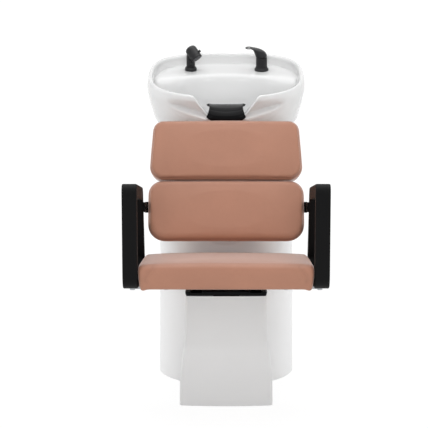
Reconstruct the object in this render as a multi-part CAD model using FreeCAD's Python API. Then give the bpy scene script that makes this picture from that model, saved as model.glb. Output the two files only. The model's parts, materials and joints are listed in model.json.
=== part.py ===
import FreeCAD, Part
import math
import os

os.makedirs("parts", exist_ok=True)

# Backwash unit, millimetres. +Z up, +Y to the back, sitter faces -Y.
# Origin: on the floor, in the middle of the four floor anchors.

# Clearances
PLAY = 0.25            # bolt in its hole, radial
RUNNING = 0.06         # turning and sliding fits, radial
SEAM = 0.5             # between moulded shells
FABRIC_GAP = 0.3       # upholstery round its board

# Column and pedestal shells
SHELL = 5.0
COLUMN_R_FOOT = 222.5
COLUMN_R_TOP = 217.5
COLUMN_BACK = 250.0
COLUMN_TOP = 690.0
COLUMN_CORNER = 45.0
COLUMN_EDGE = 7.0      # rounded edge of the top and the slanted face
HATCH_HALF = 130.0
HATCH_LOW = 90.0
HATCH_HIGH = 550.0
HATCH_LAP = 20.0       # rear panel past its hatch
PANEL_FRONT = -454.0
PANEL_FOOT_HALF = 144.5
PANEL_PLINTH = 92.0
PANEL_KNEE = 172.0
PANEL_KNEE_HALF = 130.0
PANEL_TOP_HALF = 122.0
PANEL_BOW_R = 1040.0

# Seat: its lower front edge and its rise toward the front
SEAT_FRONT_Y = -700.0
SEAT_FRONT_Z = 425.0
SEAT_TILT = 7.5
SEAT_HALF = 257.5
SEAT_DEPTH = 472.0
SEAT_THICK = 82.0
SEAT_CORNER = 27.0
SEAT_CROWN_R = 7000.0
SEAT_BOARD_T = 15.0
CROSSBAR_T = 8.0
CROSSBAR_W = 40.0
CROSSBAR_AT = (140.0, SEAT_DEPTH - 72.0)
RAIL_W = 40.0
RAIL_H = 20.0
RAIL_WALL = 2.5
RAIL_X = 90.0
TRAY_HALF = 126.0
TRAY_DEEP = 14.0
TRAY_SHEET = 4.0

# Backrest: its lower front edge and its lean
BACK_Y = -312.0
BACK_Z = 488.0
BACK_LEAN = 24.0
BACK_THICK = 88.0
BACK_BOARD_T = 12.0
LOWER_UNDER = 27.0     # how far the lower cushion's foot slopes in towards its back
UPPER_UNDER = 8.0
BACK_OVER = 10.0       # the same at the top edges
BOARD_IN = 9.0         # board inside the cover's edge at the back
LOWER_BACK = (7.0, 210.0)
BACK_IN = 7.5          # lower back cushion inside the seat's width
LOWER_HALF = SEAT_HALF - BACK_IN
UPPER_BACK = (212.0, 411.5)
UPPER_HALF = LOWER_HALF - 4.0
UPPER_TOP_HALF = LOWER_HALF - 13.0
UPRIGHT_T = 8.0
UPRIGHT_W = 40.0

# Armrest loops
ARM_CLEAR = 2.0        # armrest beside the seat
ARM_IN = SEAT_HALF + ARM_CLEAR
ARM_WIDE = 44.0
ARM_BAR = 40.0
ARM_FRONT_Y = -690.0
ARM_TOP_Z = 738.0
ARM_REAR_TOP = (-303.0, 664.0)
ARM_REAR_FOOT_Y = -190.0
ARM_EDGE = 4.0
CROSSBAR_HALF = ARM_IN + 25.5
BRACKET_T = 6.0
BRACKET_LOW = 562.0
BRACKET_TALL = 32.0
BRACKET_HIGH = BRACKET_LOW + BRACKET_TALL
BRACKET_END = LOWER_HALF - 120.0
BRACKET_BOLTS = (LOWER_HALF - 80.0, LOWER_HALF - 40.0)
BRACKET_RISE = 0.18    # of the leg along the armrest, forwards

# Basin: front of its rim, tilt, outside sections (height, half width, front, back)
BASIN_Y = -80.0
BASIN_Z = COLUMN_TOP + 232.0
BASIN_TILT = 12.0
BASIN_OUT = (
    (0.0, 256.0, 4.0, 496.0),
    (-10.0, 261.0, 0.0, 500.0),
    (-60.0, 261.0, 1.0, 498.0),
    (-103.0, 250.0, 10.0, 488.0),
    (-135.0, 240.0, 22.0, 474.0),
    (-156.0, 223.0, 38.0, 456.0),
    (-185.0, 185.0, 75.0, 415.0),
    (-203.0, 158.0, 99.0, 379.0),
    (-215.0, 130.0, 125.0, 340.0),
)
BASIN_WALL = 13.0
DECK_W = -35.0
DECK_FRONT = 345.0
DECK_T = 12.0
BOWL_IN = (
    (-32.0, 15.0, 24.0, 345.0),
    (-60.0, 15.5, 30.0, 343.0),
    (-90.0, 16.0, 32.0, 341.0),
    (-140.0, 20.0, 34.0, 326.0),
    (-175.0, 37.0, 45.0, 300.0),
    (-198.0, 70.0, 70.0, 274.0),
)
LEAF = (70.0, 24.0, 24.0)
LEAF_AT = (128.0, -40.0)
LEAF_DEEP = 13.0
BOWL_BOTTOM = BOWL_IN[-1][0]
NOTCH_TOP_HALF = 108.0
NOTCH_LOW_HALF = 62.0
NOTCH_W = -62.0
REST = (
    (-14.0, 56.0, 9.0, 8.0, 0.0, 1.2),
    (4.0, 54.0, 14.0, 12.0, 0.0, 1.2),
    (26.0, 54.0, 15.5, 13.0, 0.0, 1.2),
    (54.0, 58.0, 15.0, 11.0, 3.0, 7.0),
    (80.0, 64.0, 13.0, 9.0, 6.0, 8.0),
)
REST_LIP = 36.0
REST_LIP_HALF = 61.0
DRAIN_V = 215.0
DRAIN_R = 25.0
TAP_X = 122.0
TAP_V = 405.0
TAP_HOLE_R = 17.0

# Tilt hinge under the basin
PIVOT_Y = 185.0
PIVOT_Z = COLUMN_TOP + 38.0
PIVOT_R = 6.0
BUSH_R = 9.0
EAR_X = 64.0
EAR_T = 6.0
EAR_R = 16.0

# Floor anchors and steel frame
PLATE_T = 8.0
PLATE_HALF = 150.0
PLATE_BACK = 235.0
TONGUE_HALF = 60.0
TONGUE_FRONT = -430.0
PIPE_HOLE_R = 45.0
PIPE_HOLE_Y = 60.0
ANCHOR_X = 120.0
ANCHOR_Y = 100.0
ANCHOR_R = 6.5
POST = 30.0
FRONT_POST = 80.0
FRONT_POST_Y = -350.0
FRONT_POST_WALL = 4.0
POST_X = 90.0
POST_Y = (-45.0, 215.0)
TOP_PLATE_Z = COLUMN_TOP - 18.0
TOP_PLATE_T = 6.0

# Mixer and hand shower, heights above the deck
TAP_R = 19.3
TAP_TOP = 46.0
TAP_BORE_R = 15.0
LEVER_PIVOT = (11.0, TAP_TOP + 5.0)
LEVER_REACH = 55.0
LEVER_LIFT = 20.0
STEM_COLLAR_R = 7.4
LEVER_T = 6.0
LEVER_Z = 76.0         # underside of the eyelet above the deck
LEVER_HALF = 13.0
HOLDER_H = 12.0
TAIL_R = 12.0
SLEEVE_R = 14.0
HEAD_R = 20.0
FACE_R = HEAD_R - 2.5
HEAD_LONG = 48.0
HEAD_DIR = (0.55, -0.50, -0.67)
HEAD_AT = (9.0, -4.0, 62.0)
BUTTON_R = 4.5
BUTTON_OUT = 6.5

V = FreeCAD.Vector
X_AXIS = V(1, 0, 0)
Y_AXIS = V(0, 1, 0)
Z_AXIS = V(0, 0, 1)


def placed(shape, origin, tilt):
    """Put a shape drawn in a tilted frame into the row frame."""
    out = shape.copy()
    out.Placement = FreeCAD.Placement(origin, FreeCAD.Rotation(X_AXIS, tilt))
    return out


def in_seat(shape):
    return placed(shape, V(0, SEAT_FRONT_Y, SEAT_FRONT_Z), -SEAT_TILT)


def in_back(shape):
    return placed(shape, V(0, BACK_Y, BACK_Z), -BACK_LEAN)


def in_basin(shape):
    return placed(shape, V(0, BASIN_Y, BASIN_Z), BASIN_TILT)


def box(x0, x1, y0, y1, z0, z1):
    return Part.makeBox(x1 - x0, y1 - y0, z1 - z0, V(x0, y0, z0))


def rod(radius, start, end):
    """Cylinder between two points."""
    a = V(*start)
    b = V(*end)
    return Part.makeCylinder(radius, (b - a).Length, a, b - a)


def mirrored(shape):
    return shape.mirror(V(0, 0, 0), X_AXIS)


def group(solids):
    return Part.makeCompound(solids)


def rounded_wire(corners, radii):
    """Closed flat outline through corners, each rounded by its own radius."""
    pts = [V(*c) for c in corners]
    count = len(pts)
    ends = []
    for i in range(count):
        here = pts[i]
        to_last = (pts[i - 1] - here).normalize()
        to_next = (pts[(i + 1) % count] - here).normalize()
        half = to_last.getAngle(to_next) / 2
        reach = radii[i] / math.tan(half)
        middle = (to_last + to_next).normalize()
        centre = here + middle * (radii[i] / math.sin(half))
        ends.append((here + to_last * reach, centre - middle * radii[i], here + to_next * reach))
    edges = []
    for i in range(count):
        start, mid, stop = ends[i]
        if radii[i] > 0:
            edges.append(Part.Arc(start, mid, stop).toShape())
        after = ends[(i + 1) % count][0]
        if (after - stop).Length > 1e-6:
            edges.append(Part.LineSegment(stop, after).toShape())
    return Part.Wire(edges)


def prism(corners, radii, way):
    return Part.Face(rounded_wire(corners, radii)).extrude(V(*way))


def revolved(profile, base):
    """Turn a list of (radius, height) about a vertical axis through base."""
    pts = [V(base[0] + r, base[1], base[2] + h) for r, h in profile]
    face = Part.Face(Part.makePolygon(pts + [pts[0]]))
    return face.revolve(V(*base), Z_AXIS, 360)


def hexagon(flats, height, base, way):
    """Hexagonal prism drawn on base, raised along way (X or Z)."""
    radius = flats / math.sqrt(3)
    pts = []
    for i in range(7):
        a = math.radians(60 * i)
        if way == "x":
            pts.append(V(base[0], base[1] + radius * math.cos(a), base[2] + radius * math.sin(a)))
        else:
            pts.append(V(base[0] + radius * math.cos(a), base[1] + radius * math.sin(a), base[2]))
    rise = X_AXIS if way == "x" else Z_AXIS
    return Part.Face(Part.makePolygon(pts)).extrude(rise * height)


def bolt(radius, tip, neck, head_r, head_h):
    """Round shank from tip to neck with a flat head beyond the neck."""
    a = V(*tip)
    b = V(*neck)
    way = (b - a).normalize()
    shank = Part.makeCylinder(radius, (b - a).Length, a, way)
    return shank.fuse(Part.makeCylinder(head_r, head_h, b, way)).removeSplitter()


# Shells and steel frame

def column_wire(radius, back, corner, z):
    pts = []
    side = back - corner
    pts.append(Part.Arc(V(radius, 0, z), V(0, -radius, z), V(-radius, 0, z)).toShape())
    pts.append(Part.LineSegment(V(-radius, 0, z), V(-radius, side, z)).toShape())
    k = corner * (1 - math.sqrt(0.5))
    pts.append(Part.Arc(V(-radius, side, z), V(k - radius, back - k, z), V(corner - radius, back, z)).toShape())
    pts.append(Part.LineSegment(V(corner - radius, back, z), V(radius - corner, back, z)).toShape())
    pts.append(Part.Arc(V(radius - corner, back, z), V(radius - k, back - k, z), V(radius, side, z)).toShape())
    pts.append(Part.LineSegment(V(radius, side, z), V(radius, 0, z)).toShape())
    return Part.Wire(pts)


def column_solid(grow, low, high, face_n):
    """Column body grown by grow, its front cut back along the backrest at face_n."""
    draft = (COLUMN_R_FOOT - COLUMN_R_TOP) / COLUMN_TOP
    wires = []
    for z in (low, high):
        radius = COLUMN_R_FOOT - draft * z + grow
        wires.append(column_wire(radius, COLUMN_BACK + grow, COLUMN_CORNER + grow, z))
    body = Part.makeLoft(wires, True, True)
    ahead = in_back(box(-400, 400, -600, face_n, -400, 700))
    return body.cut(ahead)


def rail_room(side, extra):
    """Space a seat rail takes, with extra all round."""
    x = side * RAIL_X
    half = RAIL_W / 2 + extra
    low = -CROSSBAR_T - RAIL_H - extra
    return in_seat(box(x - half, x + half, 185, 700, low, extra - CROSSBAR_T))


FACE_N = BACK_THICK + UPRIGHT_T


def back_bolt_spots():
    rows = (LOWER_BACK[0] + 98, LOWER_BACK[1] - 38)
    return [(x, s) for x in (-RAIL_X, RAIL_X) for s in rows]


def column_rim(body):
    """Edges of the column's top and of its slanted face, above the seat."""
    edges = []
    for e in body.Edges:
        c = e.CenterOfMass
        on_top = abs(e.BoundBox.ZMin - COLUMN_TOP) < 0.01
        if on_top or (c.z > BACK_Z - 90 and c.y < -20 and e.BoundBox.ZLength > 60):
            edges.append(e)
    return edges


def column_shell():
    out = column_solid(0, 0, COLUMN_TOP, FACE_N)
    out = out.makeFillet(COLUMN_EDGE, column_rim(out))
    shell = out.cut(column_solid(-SHELL, -1, COLUMN_TOP - SHELL, FACE_N + SHELL))
    cuts = [rail_room(-1, 2), rail_room(1, 2)]
    cuts.append(box(-TONGUE_HALF - 2, TONGUE_HALF + 2, -300, -100, -1, PLATE_T + 2))
    opening = [(-110, 100, 600), (110, 100, 600), (110, 240, 600), (-110, 240, 600)]
    cuts.append(prism(opening, [20] * 4, (0, 0, 200)))
    half = HATCH_HALF
    hatch = [(-half, 200, HATCH_LOW), (half, 200, HATCH_LOW)]
    hatch += [(half, 200, HATCH_HIGH), (-half, 200, HATCH_HIGH)]
    cuts.append(prism(hatch, [20] * 4, (0, 100, 0)))
    for x, s in back_bolt_spots():
        cuts.append(in_back(rod(4 + PLAY, (x, 80, s), (x, 120, s))))
    for x, z in panel_screw_spots():
        cuts.append(rod(2 + PLAY, (x, 200, z), (x, 300, z)))
    return shell.cut(cuts)


def panel_screw_spots():
    x = HATCH_HALF + 8
    return [(-x, HATCH_LOW - 8), (-x, HATCH_HIGH + 8), (x, HATCH_LOW - 8), (x, HATCH_HIGH + 8)]


def rear_panel():
    y = COLUMN_BACK
    half = HATCH_HALF + HATCH_LAP
    low = HATCH_LOW - HATCH_LAP
    high = HATCH_HIGH + HATCH_LAP
    outline = [(-half, y, low), (half, y, low), (half, y, high), (-half, y, high)]
    panel = prism(outline, [22] * 4, (0, 4, 0))
    edges = [e for e in panel.Edges if abs(e.CenterOfMass.y - y - 4) < 0.01]
    panel = panel.makeFillet(2.0, edges)
    return panel.cut([rod(2 + PLAY, (x, 200, z), (x, 300, z)) for x, z in panel_screw_spots()])


def rear_panel_screws():
    y = COLUMN_BACK
    return group([bolt(2, (x, y - 9, z), (x, y + 4, z), 4.5, 2.5) for x, z in panel_screw_spots()])


def pedestal_outline(inset, y, top):
    corners = [
        (PANEL_FOOT_HALF - inset, y, -1),
        (PANEL_FOOT_HALF - 1 - inset, y, PANEL_PLINTH),
        (PANEL_KNEE_HALF - inset, y, PANEL_KNEE),
        (PANEL_TOP_HALF - inset, y, top),
    ]
    radii = [0, 90, 160, 0]
    corners += [(-x, yy, z) for x, yy, z in reversed(corners)]
    return corners, radii + radii[::-1]


def pedestal_solid(inset, low):
    corners, radii = pedestal_outline(inset, PANEL_FRONT - 50, 420)
    body = prism(corners, radii, (0, 330, 0))
    axis_y = PANEL_FRONT + PANEL_BOW_R
    bow = Part.makeCylinder(PANEL_BOW_R - inset, 600, V(0, axis_y, low))
    body = body.common(bow)
    return body


def pedestal_shell():
    out = pedestal_solid(0, 0)
    front = [e for e in out.Edges if e.CenterOfMass.y < PANEL_FRONT + 20 and
             abs(e.CenterOfMass.x) > PANEL_TOP_HALF - 6 and e.BoundBox.ZLength > 5]
    out = out.makeFillet(12.0, front)
    shell = out.cut(pedestal_solid(SHELL, -1))
    under = -CROSSBAR_T - RAIL_H - TRAY_DEEP - SEAM
    above = in_seat(box(-300, 300, -200, 900, under, 600))
    shell = shell.cut(above)
    return shell.cut(column_solid(SEAM, -1, COLUMN_TOP, FACE_N))


def base_plate():
    main = box(-PLATE_HALF, PLATE_HALF, -PLATE_HALF, PLATE_BACK, 0, PLATE_T)
    tongue = box(-TONGUE_HALF, TONGUE_HALF, TONGUE_FRONT, -PLATE_HALF, 0, PLATE_T)
    plate = main.fuse(tongue).removeSplitter()
    holes = []
    for x in (-ANCHOR_X, ANCHOR_X):
        for y in (-ANCHOR_Y, ANCHOR_Y):
            holes.append(rod(ANCHOR_R, (x, y, -5), (x, y, 20)))
    holes.append(rod(PIPE_HOLE_R, (0, PIPE_HOLE_Y, -5), (0, PIPE_HOLE_Y, 20)))
    return plate.cut(holes)


def column_frame():
    half = POST / 2
    solids = []
    hollow = []
    for x in (-POST_X, POST_X):
        for y in POST_Y:
            solids.append(box(x - half, x + half, y - half, y + half, PLATE_T, TOP_PLATE_Z))
            wall = half - RAIL_WALL
            hollow.append(box(x - wall, x + wall, y - wall, y + wall, PLATE_T - 1, TOP_PLATE_Z))
        solids.append(box(x - half, x + half, POST_Y[0], POST_Y[1], 300, 300 + POST))
    solids.append(box(-POST_X, POST_X, POST_Y[0] - half, POST_Y[0] + half, 300, 300 + POST))
    solids.append(box(-120, 120, -62, 235, TOP_PLATE_Z, TOP_PLATE_Z + TOP_PLATE_T))
    frame = solids[0].fuse(solids[1:]).cut(hollow).removeSplitter()
    return frame.cut(rod(65, (0, PIVOT_Y + 3, 600), (0, PIVOT_Y + 3, 700)))


def seat_rail(side):
    behind = box(-400, 400, POST_Y[0] - POST / 2, 900, 0, 900)
    half = RAIL_W / 2 - RAIL_WALL
    mid = side * RAIL_X
    low = -CROSSBAR_T - RAIL_H + RAIL_WALL
    hollow = in_seat(box(mid - half, mid + half, 100, 800, low, -CROSSBAR_T - RAIL_WALL))
    return rail_room(side, 0).cut([hollow, behind])


def pedestal_post():
    under = -CROSSBAR_T - RAIL_H - TRAY_SHEET
    half = FRONT_POST / 2
    inner = half - FRONT_POST_WALL
    y = FRONT_POST_Y
    tube = box(-half, half, y - half, y + half, PLATE_T, SEAT_FRONT_Z)
    tube = tube.cut(box(-inner, inner, y - inner, y + inner, 0, SEAT_FRONT_Z + 10))
    above = in_seat(box(-SEAT_HALF, SEAT_HALF, -200, SEAT_DEPTH + 400, under, 600))
    return tube.cut(above)


# Seat

def seat_tray():
    top = -CROSSBAR_T - RAIL_H
    front = (PANEL_FRONT + 3 - SEAT_FRONT_Y) / math.cos(math.radians(SEAT_TILT))
    outside = [(-TRAY_HALF, front, 0), (TRAY_HALF, front, 0), (TRAY_HALF, 466, 0), (-TRAY_HALF, 466, 0)]
    outside = [(x, y, top - TRAY_DEEP) for x, y, _ in outside]
    tray = prism(outside, [10, 10, 4, 4], (0, 0, TRAY_DEEP))
    t = TRAY_SHEET
    inside = box(t - TRAY_HALF, TRAY_HALF - t, front + t, 480, top - TRAY_DEEP - 1, top - t)
    return in_seat(tray.cut(inside))


def seat_crossbar(index):
    y = CROSSBAR_AT[index]
    half = CROSSBAR_W / 2
    bar = box(-CROSSBAR_HALF, CROSSBAR_HALF, y - half, y + half, -CROSSBAR_T, 0)
    holes = [rod(4 + PLAY, (x, y, -20), (x, y, 20)) for x in (-arm_mid(), arm_mid())]
    holes += [rod(3 + PLAY, (x, y, -20), (x, y, 20)) for x in (-180, 180)]
    return in_seat(bar.cut(holes))


def arm_mid():
    return ARM_IN + ARM_WIDE / 2


def seat_board_outline(gap):
    half = SEAT_HALF - 16 + gap
    low = 16 - gap
    high = SEAT_DEPTH - 14 + gap
    return [(-half, low, 0), (half, low, 0), (half, high, 0), (-half, high, 0)]


def seat_board():
    board = prism(seat_board_outline(0), [40] * 4, (0, 0, SEAT_BOARD_T))
    holes = [rod(3 + PLAY, (x, y, -5), (x, y, 12.5)) for x in (-180, 180) for y in CROSSBAR_AT]
    return in_seat(board.cut(holes))


def seat_board_bolts():
    spots = [(x, y) for x in (-180, 180) for y in CROSSBAR_AT]
    return group([in_seat(bolt(3, (x, y, 12), (x, y, -CROSSBAR_T), 6, 4)) for x, y in spots])


def seat_section(inset, z, front_extra):
    half = SEAT_HALF - inset
    low = inset + front_extra
    high = SEAT_DEPTH - inset
    pts = [(-half, low, z), (half, low, z), (half, high, z), (-half, high, z)]
    r = SEAT_CORNER - 0.7 * inset
    return rounded_wire(pts, [r, r, r - 8, r - 8])


def seat_cushion():
    t = SEAT_THICK
    steps = ((0, 10, 0), (0.2, 5, 0), (0.42, 1.6, 0), (0.65, 0, 0), (0.82, 0.2, 0.2), (0.9, 1.8, 1.8))
    steps += ((0.96, 5, 5), (1.0, 12, 12))
    body = Part.makeLoft([seat_section(i, t * k, f) for k, i, f in steps], True, False)
    crown = Part.makeSphere(SEAT_CROWN_R, V(0, SEAT_DEPTH / 2, t - SEAT_CROWN_R))
    body = body.common(crown)
    pocket = prism(seat_board_outline(FABRIC_GAP), [40] * 4, (0, 0, SEAT_BOARD_T + FABRIC_GAP))
    under = pocket.fuse(pocket.translated(V(0, 0, -5))).removeSplitter()
    return in_seat(body.cut(under))


# Armrests

def seat_point(y, z):
    """Seat frame (y, z) in the row frame."""
    a = math.radians(SEAT_TILT)
    return (SEAT_FRONT_Y + y * math.cos(a) + z * math.sin(a),
            SEAT_FRONT_Z - y * math.sin(a) + z * math.cos(a))


def arm_corners(x, inset):
    slope = math.tan(math.radians(SEAT_TILT))
    foot_front = SEAT_FRONT_Z - (ARM_FRONT_Y - SEAT_FRONT_Y) * slope
    foot_rear = SEAT_FRONT_Z - (ARM_REAR_FOOT_Y - SEAT_FRONT_Y) * slope
    pts = [V(x, ARM_FRONT_Y, foot_front), V(x, ARM_FRONT_Y, ARM_TOP_Z)]
    pts += [V(x, *ARM_REAR_TOP), V(x, ARM_REAR_FOOT_Y, foot_rear)]
    moved = []
    for i in range(4):
        back_way = (pts[i - 1] - pts[i]).normalize()
        fore_way = (pts[(i + 1) % 4] - pts[i]).normalize()
        half = back_way.getAngle(fore_way) / 2
        middle = (back_way + fore_way).normalize()
        p = pts[i] + middle * (inset / math.sin(half))
        moved.append((p.x, p.y, p.z))
    return moved


def armrest():
    loop = prism(arm_corners(ARM_IN, 0), [46, 24, 44, 46], (ARM_WIDE, 0, 0))
    gap = prism(arm_corners(ARM_IN - 5, ARM_BAR), [20, 12, 16, 20], (ARM_WIDE + 10, 0, 0))
    loop = loop.cut(gap)
    sides = (ARM_IN, ARM_IN + ARM_WIDE)
    edges = [e for e in loop.Edges if min(abs(e.CenterOfMass.x - s) for s in sides) < 0.01]
    loop = loop.makeFillet(ARM_EDGE, edges)
    holes = [in_seat(rod(4 + PLAY, (arm_mid(), y, -5), (arm_mid(), y, 26))) for y in CROSSBAR_AT]
    holes += [rod(3 + PLAY, (ARM_IN - 5, y, z), (ARM_IN + 27, y, z)) for y, z in bracket_arm_spots()]
    return loop.cut(holes)


def armrest_bolts():
    spots = [(x, y) for x in (-arm_mid(), arm_mid()) for y in CROSSBAR_AT]
    return group([in_seat(bolt(4, (x, y, 24), (x, y, -CROSSBAR_T), 7.5, 4.5)) for x, y in spots])


def bracket_turn_y():
    """Where the leg along the armrest meets the board leg."""
    a = math.radians(BACK_LEAN)
    return BACK_Y + BACK_THICK * math.cos(a) + bracket_board_s() * math.sin(a)


def bracket_rise(y):
    return BRACKET_RISE * (bracket_turn_y() - y)


def bracket_arm_spots():
    z = (BRACKET_LOW + BRACKET_HIGH) / 2
    front = ARM_REAR_TOP[0] - 5
    return [(y, z + bracket_rise(y)) for y in (front, front + 18)]


def bracket_board_s():
    a = math.radians(BACK_LEAN)
    z = (BRACKET_LOW + BRACKET_HIGH) / 2
    n = BACK_THICK + BRACKET_T / 2
    return (z - BACK_Z + n * math.sin(a)) / math.cos(a)


def armrest_bracket():
    inner = ARM_IN - BRACKET_T
    front = ARM_REAR_TOP[0] - 13
    pts = [(inner, 0, BRACKET_LOW + bracket_rise(0)), (inner, front, BRACKET_LOW + bracket_rise(front))]
    pts += [(inner, front, BRACKET_HIGH + bracket_rise(front)), (inner, 0, BRACKET_HIGH + bracket_rise(0))]
    arm_leg = prism(pts, [0, 5, 5, 0], (BRACKET_T, 0, 0))
    arm_leg = arm_leg.cut(in_back(box(0, 400, BACK_THICK + BRACKET_T, 600, -200, 600)))
    slab = in_back(box(BRACKET_END, ARM_IN, BACK_THICK, BACK_THICK + BRACKET_T, 0, 400))
    board_leg = slab.common(box(0, 400, -400, 200, BRACKET_LOW, BRACKET_HIGH))
    bracket = arm_leg.fuse(board_leg).removeSplitter()
    holes = [rod(3 + PLAY, (inner - 5, y, z), (ARM_IN + 5, y, z)) for y, z in bracket_arm_spots()]
    for x in BRACKET_BOLTS:
        holes.append(in_back(rod(3 + PLAY, (x, 70, bracket_board_s()), (x, 120, bracket_board_s()))))
    return bracket.cut(holes)


def armrest_bracket_bolts():
    inner = ARM_IN - BRACKET_T
    solids = [bolt(3, (ARM_IN + 25, y, z), (inner, y, z), 5.5, 2.8) for y, z in bracket_arm_spots()]
    s = bracket_board_s()
    for x in BRACKET_BOLTS:
        solids.append(in_back(bolt(3, (x, BACK_THICK - 8, s), (x, BACK_THICK + BRACKET_T, s), 5.5, 3.5)))
    return group(solids + [mirrored(b) for b in solids])


# Backrest

def back_outline(half_low, half_top, low, high, n):
    return [(-half_low, n, low), (half_low, n, low), (half_top, n, high), (-half_top, n, high)]


def back_cushion(span, half_low, half_top, r_low, r_top, board_r, under):
    over = BACK_OVER
    steps = ((1.0, 6, under, over), (0.68, 0.5, 0.67 * under, 0.3 * over))
    steps += ((0.45, 0, 0.37 * under, 0.05 * over), (0.27, 1.6, 3 + 0.1 * under, 1.6))
    steps += ((0.12, 6, 6.5, 6), (0.05, 13, 13, 13), (0.0, 24, 24, 24))
    wires = []
    for depth, side, foot, head in steps:
        n = BACK_THICK * depth
        pts = back_outline(half_low - side, half_top - side, span[0] + foot, span[1] - head, n)
        low = max(r_low - side, 12)
        top = max(r_top - side, 12)
        wires.append(rounded_wire(pts, [low, low, top, top]))
    body = Part.makeLoft(wires, True, False)
    mid = (span[0] + span[1]) / 2
    body = body.common(Part.makeSphere(2600, V(0, 2600, mid)))
    pocket = back_board_solid(span, half_low, half_top, board_r, FABRIC_GAP, under)
    deep = pocket.fuse(pocket.translated(V(0, 6, 0))).removeSplitter()
    return in_back(body.cut(deep))


def lower_back_cushion():
    return back_cushion(LOWER_BACK, LOWER_HALF, LOWER_HALF, 56, 46, 34 + FABRIC_GAP, LOWER_UNDER)


def upper_back_cushion():
    return back_cushion(UPPER_BACK, UPPER_HALF, UPPER_TOP_HALF, 46, 34, 26 + FABRIC_GAP, UPPER_UNDER)


def back_board_solid(span, half_low, half_top, radius, gap, under):
    side = 6 + BOARD_IN - gap
    low = span[0] + under + BOARD_IN - gap
    high = span[1] - BACK_OVER - BOARD_IN + gap
    start = BACK_THICK - BACK_BOARD_T - gap
    pts = back_outline(half_low - side, half_top - side, low, high, start)
    return prism(pts, [radius] * 4, (0, BACK_BOARD_T + gap, 0))


def lower_back_board():
    board = back_board_solid(LOWER_BACK, LOWER_HALF, LOWER_HALF, 34, 0, LOWER_UNDER)
    s = bracket_board_s()
    holes = [rod(3 + PLAY, (x, BACK_THICK - 8.5, s), (x, 120, s)) for b in BRACKET_BOLTS for x in (-b, b)]
    holes += [rod(4 + PLAY, (x, BACK_THICK - 8.5, t), (x, 120, t)) for x, t in back_bolt_spots()]
    return in_back(board.cut(holes))


def upper_screw_spots():
    return [(x, s) for x in (-RAIL_X, RAIL_X) for s in (295.0, 360.0)]


def upper_back_board():
    board = back_board_solid(UPPER_BACK, UPPER_HALF, UPPER_TOP_HALF, 26, 0, UPPER_UNDER)
    holes = [rod(2.5 + PLAY, (x, BACK_THICK - 8.5, s), (x, 120, s)) for x, s in upper_screw_spots()]
    return in_back(board.cut(holes))


def upper_board_screws():
    tip = BACK_THICK - 8
    return group([in_back(bolt(2.5, (x, tip, s), (x, FACE_N, s), 5, 3)) for x, s in upper_screw_spots()])


def back_upright(side):
    x = side * RAIL_X
    half = UPRIGHT_W / 2
    pts = [(x - half, BACK_THICK, 30), (x + half, BACK_THICK, 30)]
    pts += [(x + half, BACK_THICK, 380), (x - half, BACK_THICK, 380)]
    bar = prism(pts, [8] * 4, (0, UPRIGHT_T, 0))
    holes = [rod(4 + PLAY, (x, 70, s), (x, 120, s)) for x, s in back_bolt_spots()]
    holes += [rod(2.5 + PLAY, (x, 70, s), (x, 120, s)) for x, s in upper_screw_spots()]
    return in_back(bar.cut(holes))


def back_frame_bolts():
    tip = BACK_THICK - 8
    neck = FACE_N + SHELL
    return group([in_back(bolt(4, (x, tip, s), (x, neck, s), 7, 4.5)) for x, s in back_bolt_spots()])


# Basin

def basin_wire(w, half, front, back, centre):
    """Egg-like outline widest at centre: rounder at the front, squarer at the back."""
    pts = []
    for i in range(28):
        a = 2 * math.pi * i / 28
        power = 2.5 if math.sin(a) < 0 else 3.0
        c = math.cos(a)
        s = math.sin(a)
        x = half * math.copysign(abs(c) ** (2 / power), c)
        reach = centre - front if s < 0 else back - centre
        y = centre + reach * math.copysign(abs(s) ** (2 / power), s)
        pts.append(V(x, y, w))
    curve = Part.BSplineCurve()
    curve.interpolate(pts, PeriodicFlag=True)
    return Part.Wire([curve.toShape()])


def basin_loft(sections):
    return Part.makeLoft([basin_wire(*s) for s in sections], True, False)


def outer_at(w):
    """Outside half width, front, back and widest place at height w."""
    for above, below in zip(BASIN_OUT, BASIN_OUT[1:]):
        if below[0] <= w <= above[0]:
            k = (above[0] - w) / (above[0] - below[0])
            half, front, back = [a + k * (b - a) for a, b in zip(above[1:], below[1:])]
            return half, front, back, (front + back) / 2


def basin_outside(inset, sections):
    out = []
    for w, half, front, back in sections:
        out.append((w, half - inset, front + inset, back - inset, (front + back) / 2))
    return basin_loft(out)


def bowl_cavity():
    sections = []
    for w, side, ahead, back in BOWL_IN:
        half, front, _, centre = outer_at(w)
        sections.append((w, half - side, front + ahead, back, min(centre, back - 60)))
    return basin_loft(sections)


def rim_pocket():
    t = BASIN_WALL
    half, front, back, centre = outer_at(DECK_W)
    sections = [(5.0, half - t + 2, front + t - 2, back - t + 2, centre)]
    sections.append((DECK_W, half - t - 2, front + BOWL_IN[0][2] - 2, back - t - 6, centre))
    return basin_loft(sections)


def notch_tool():
    high = 30.0
    grow = (NOTCH_TOP_HALF - NOTCH_LOW_HALF) / -NOTCH_W
    top = NOTCH_TOP_HALF + grow * high
    pts = [(-NOTCH_LOW_HALF, -60, NOTCH_W), (NOTCH_LOW_HALF, -60, NOTCH_W)]
    pts += [(top, -60, high), (-top, -60, high)]
    return prism(pts, [26, 26, 0, 0], (0, 150, 0))


def under_deck():
    inner = basin_outside(11, BASIN_OUT[1:7])
    back_room = box(-165, 165, DECK_FRONT + 17, 600, -150, DECK_W - DECK_T)
    return [inner.common(back_room), box(-140, 140, DECK_FRONT + 17, 425, -300, -60)]


def front_wall(x, w):
    """Where the outside of the front wall stands at x and height w."""
    half, front, back, centre = outer_at(w)
    c = (abs(x) / half) ** 1.25
    return centre - (centre - front) * (1 - c * c) ** 0.4


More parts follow.
